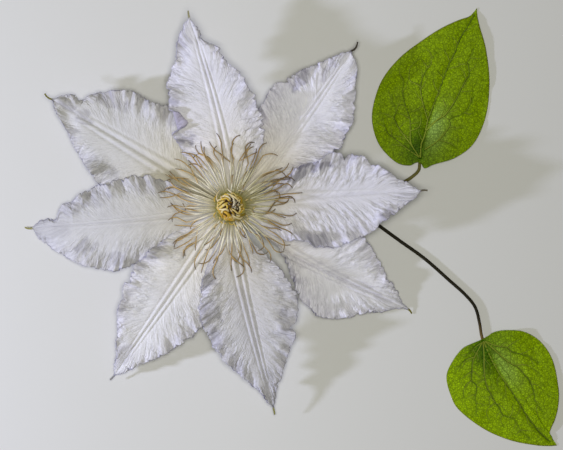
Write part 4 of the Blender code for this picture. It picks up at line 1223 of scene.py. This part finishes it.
def surface_material(colour):
    """Matt painted board: flat and pale with a barely seen mottle and a slight fall in tone to the right,
    which is painted shadow for the lamp's falloff and the flower's broad shadow there."""
    material, add = start_material("matt_painted_board")
    place = add("TexCoord").outputs["Object"]
    # Brush marks some 110 mm long, and a grain of 0.6 mm.
    mottle = add("TexNoise", {"Scale": 9.0, "Detail": 4.0, "Roughness": 0.55}, {"Vector": place})
    tone = add(
        "Mix", {6: (*(0.985 * channel for channel in colour), 1.0), 7: (*colour, 1.0)}, {0: mottle},
        data_type="RGBA")
    apart = add("SeparateXYZ", links={"Vector": place})
    # Painted shadow: the board darkens by a tenth towards the right.
    painted_falloff = add(
        "MapRange", {"From Min": 0.0, "From Max": 0.14, "To Min": 1.0, "To Max": 0.9}, {"Value": apart})
    toned = add("VectorMath", links={0: tone.outputs[2], 1: painted_falloff}, operation="MULTIPLY")
    fine = add("TexNoise", {"Scale": 1800.0, "Detail": 2.0}, {"Vector": place})
    bump = add("Bump", {"Strength": 0.1, "Distance": 0.0001}, {"Height": fine})
    shader = add("BsdfPrincipled", {"Roughness": 0.7, "IOR": 1.45}, {"Base Color": toned, "Normal": bump})
    add("OutputMaterial", links={"Surface": shader})
    return material


def add_light(name, spot, size, power, colour, shape):
    """An area light at a spot in mm that faces the flower."""
    data = bpy.data.lights.new(name, "AREA")
    data.shape = shape
    data.size = size * MM
    data.energy = power
    data.color = colour
    light = bpy.data.objects.new(name, data)
    light.location = Vector(spot) * MM
    light.rotation_euler = (-light.location).to_track_quat("-Z", "Y").to_euler()
    bpy.context.scene.collection.objects.link(light)


class CLEMATIS_OT_stage(bpy.types.Operator):
    """Build the surface, the lights and the camera"""
    bl_idname = "clematis.stage"
    bl_label = "Stage"

    def execute(self, context):
        settings = context.scene.clematis.stage
        scene = context.scene
        bm = bmesh.new()
        bmesh.ops.create_grid(bm, x_segments=4, y_segments=4, size=FLOOR_HALF_WIDTH)
        mesh = bpy.data.meshes.new("surface")
        bm.to_mesh(mesh)
        bm.free()
        mesh.materials.append(surface_material(tuple(settings.surface)))
        floor = bpy.data.objects.new("surface", mesh)
        scene.collection.objects.link(floor)

        heading, rise = math.radians(LAMP_HEADING), settings.lamp_height
        flat = LAMP_DISTANCE * math.cos(rise)
        spot = (flat * math.cos(heading), flat * math.sin(heading), LAMP_DISTANCE * math.sin(rise))
        add_light("low_lamp", spot, LAMP_SIZE, settings.lamp, linear(LAMP_COLOUR), "DISK")
        add_light("overhead_panel", PANEL_SPOT, PANEL_SIZE, settings.panel, linear(PANEL_COLOUR), "SQUARE")
        world = bpy.data.worlds.new("studio_air")
        world.use_nodes = True
        air = world.node_tree.nodes["Background"]
        air.inputs["Color"].default_value = (*linear(PANEL_COLOUR), 1.0)
        air.inputs["Strength"].default_value = settings.ambient
        scene.world = world

        camera = bpy.data.cameras.new("camera")
        camera.lens = settings.lens
        camera.sensor_width = SENSOR_WIDTH
        holder = bpy.data.objects.new("camera", camera)
        distance = FRAME_WIDTH * settings.lens / SENSOR_WIDTH
        holder.location = Vector((*CAMERA_CENTRE, distance)) * MM
        scene.collection.objects.link(holder)
        scene.camera = holder
        scene.view_settings.view_transform = "Standard"
        return {"FINISHED"}


# ---------------------------------------------------------------------------- add-on


class CLEMATIS_PT_panel(bpy.types.Panel):
    """Sidebar panel with the flower's pieces and their settings"""
    bl_label = "Clematis"
    bl_idname = "CLEMATIS_PT_panel"
    bl_space_type = "VIEW_3D"
    bl_region_type = "UI"
    bl_category = "Clematis"

    def draw(self, context):
        for group in ("tepals", "stamens", "styles", "stalk", "leaves", "stage"):
            box = self.layout.box()
            box.operator(f"clematis.{group}")
            settings = getattr(context.scene.clematis, group)
            for name in settings.__annotations__:
                box.prop(settings, name)


CLASSES = (
    TepalSettings, StamenSettings, StyleSettings, StalkSettings, LeafSettings, StageSettings,
    ClematisSettings, CLEMATIS_OT_tepals, CLEMATIS_OT_stamens, CLEMATIS_OT_styles, CLEMATIS_OT_stalk,
    CLEMATIS_OT_leaves, CLEMATIS_OT_stage, CLEMATIS_PT_panel)


def register():
    for item in CLASSES:
        bpy.utils.register_class(item)
    bpy.types.Scene.clematis = bpy.props.PointerProperty(type=ClematisSettings)


def unregister():
    del bpy.types.Scene.clematis
    for item in reversed(CLASSES):
        bpy.utils.unregister_class(item)


def main():
    register()
    bpy.ops.clematis.stage()
    bpy.ops.clematis.tepals()
    bpy.ops.clematis.stamens()
    bpy.ops.clematis.styles()
    bpy.ops.clematis.stalk()
    bpy.ops.clematis.leaves()


if __name__ == "__main__":
    main()
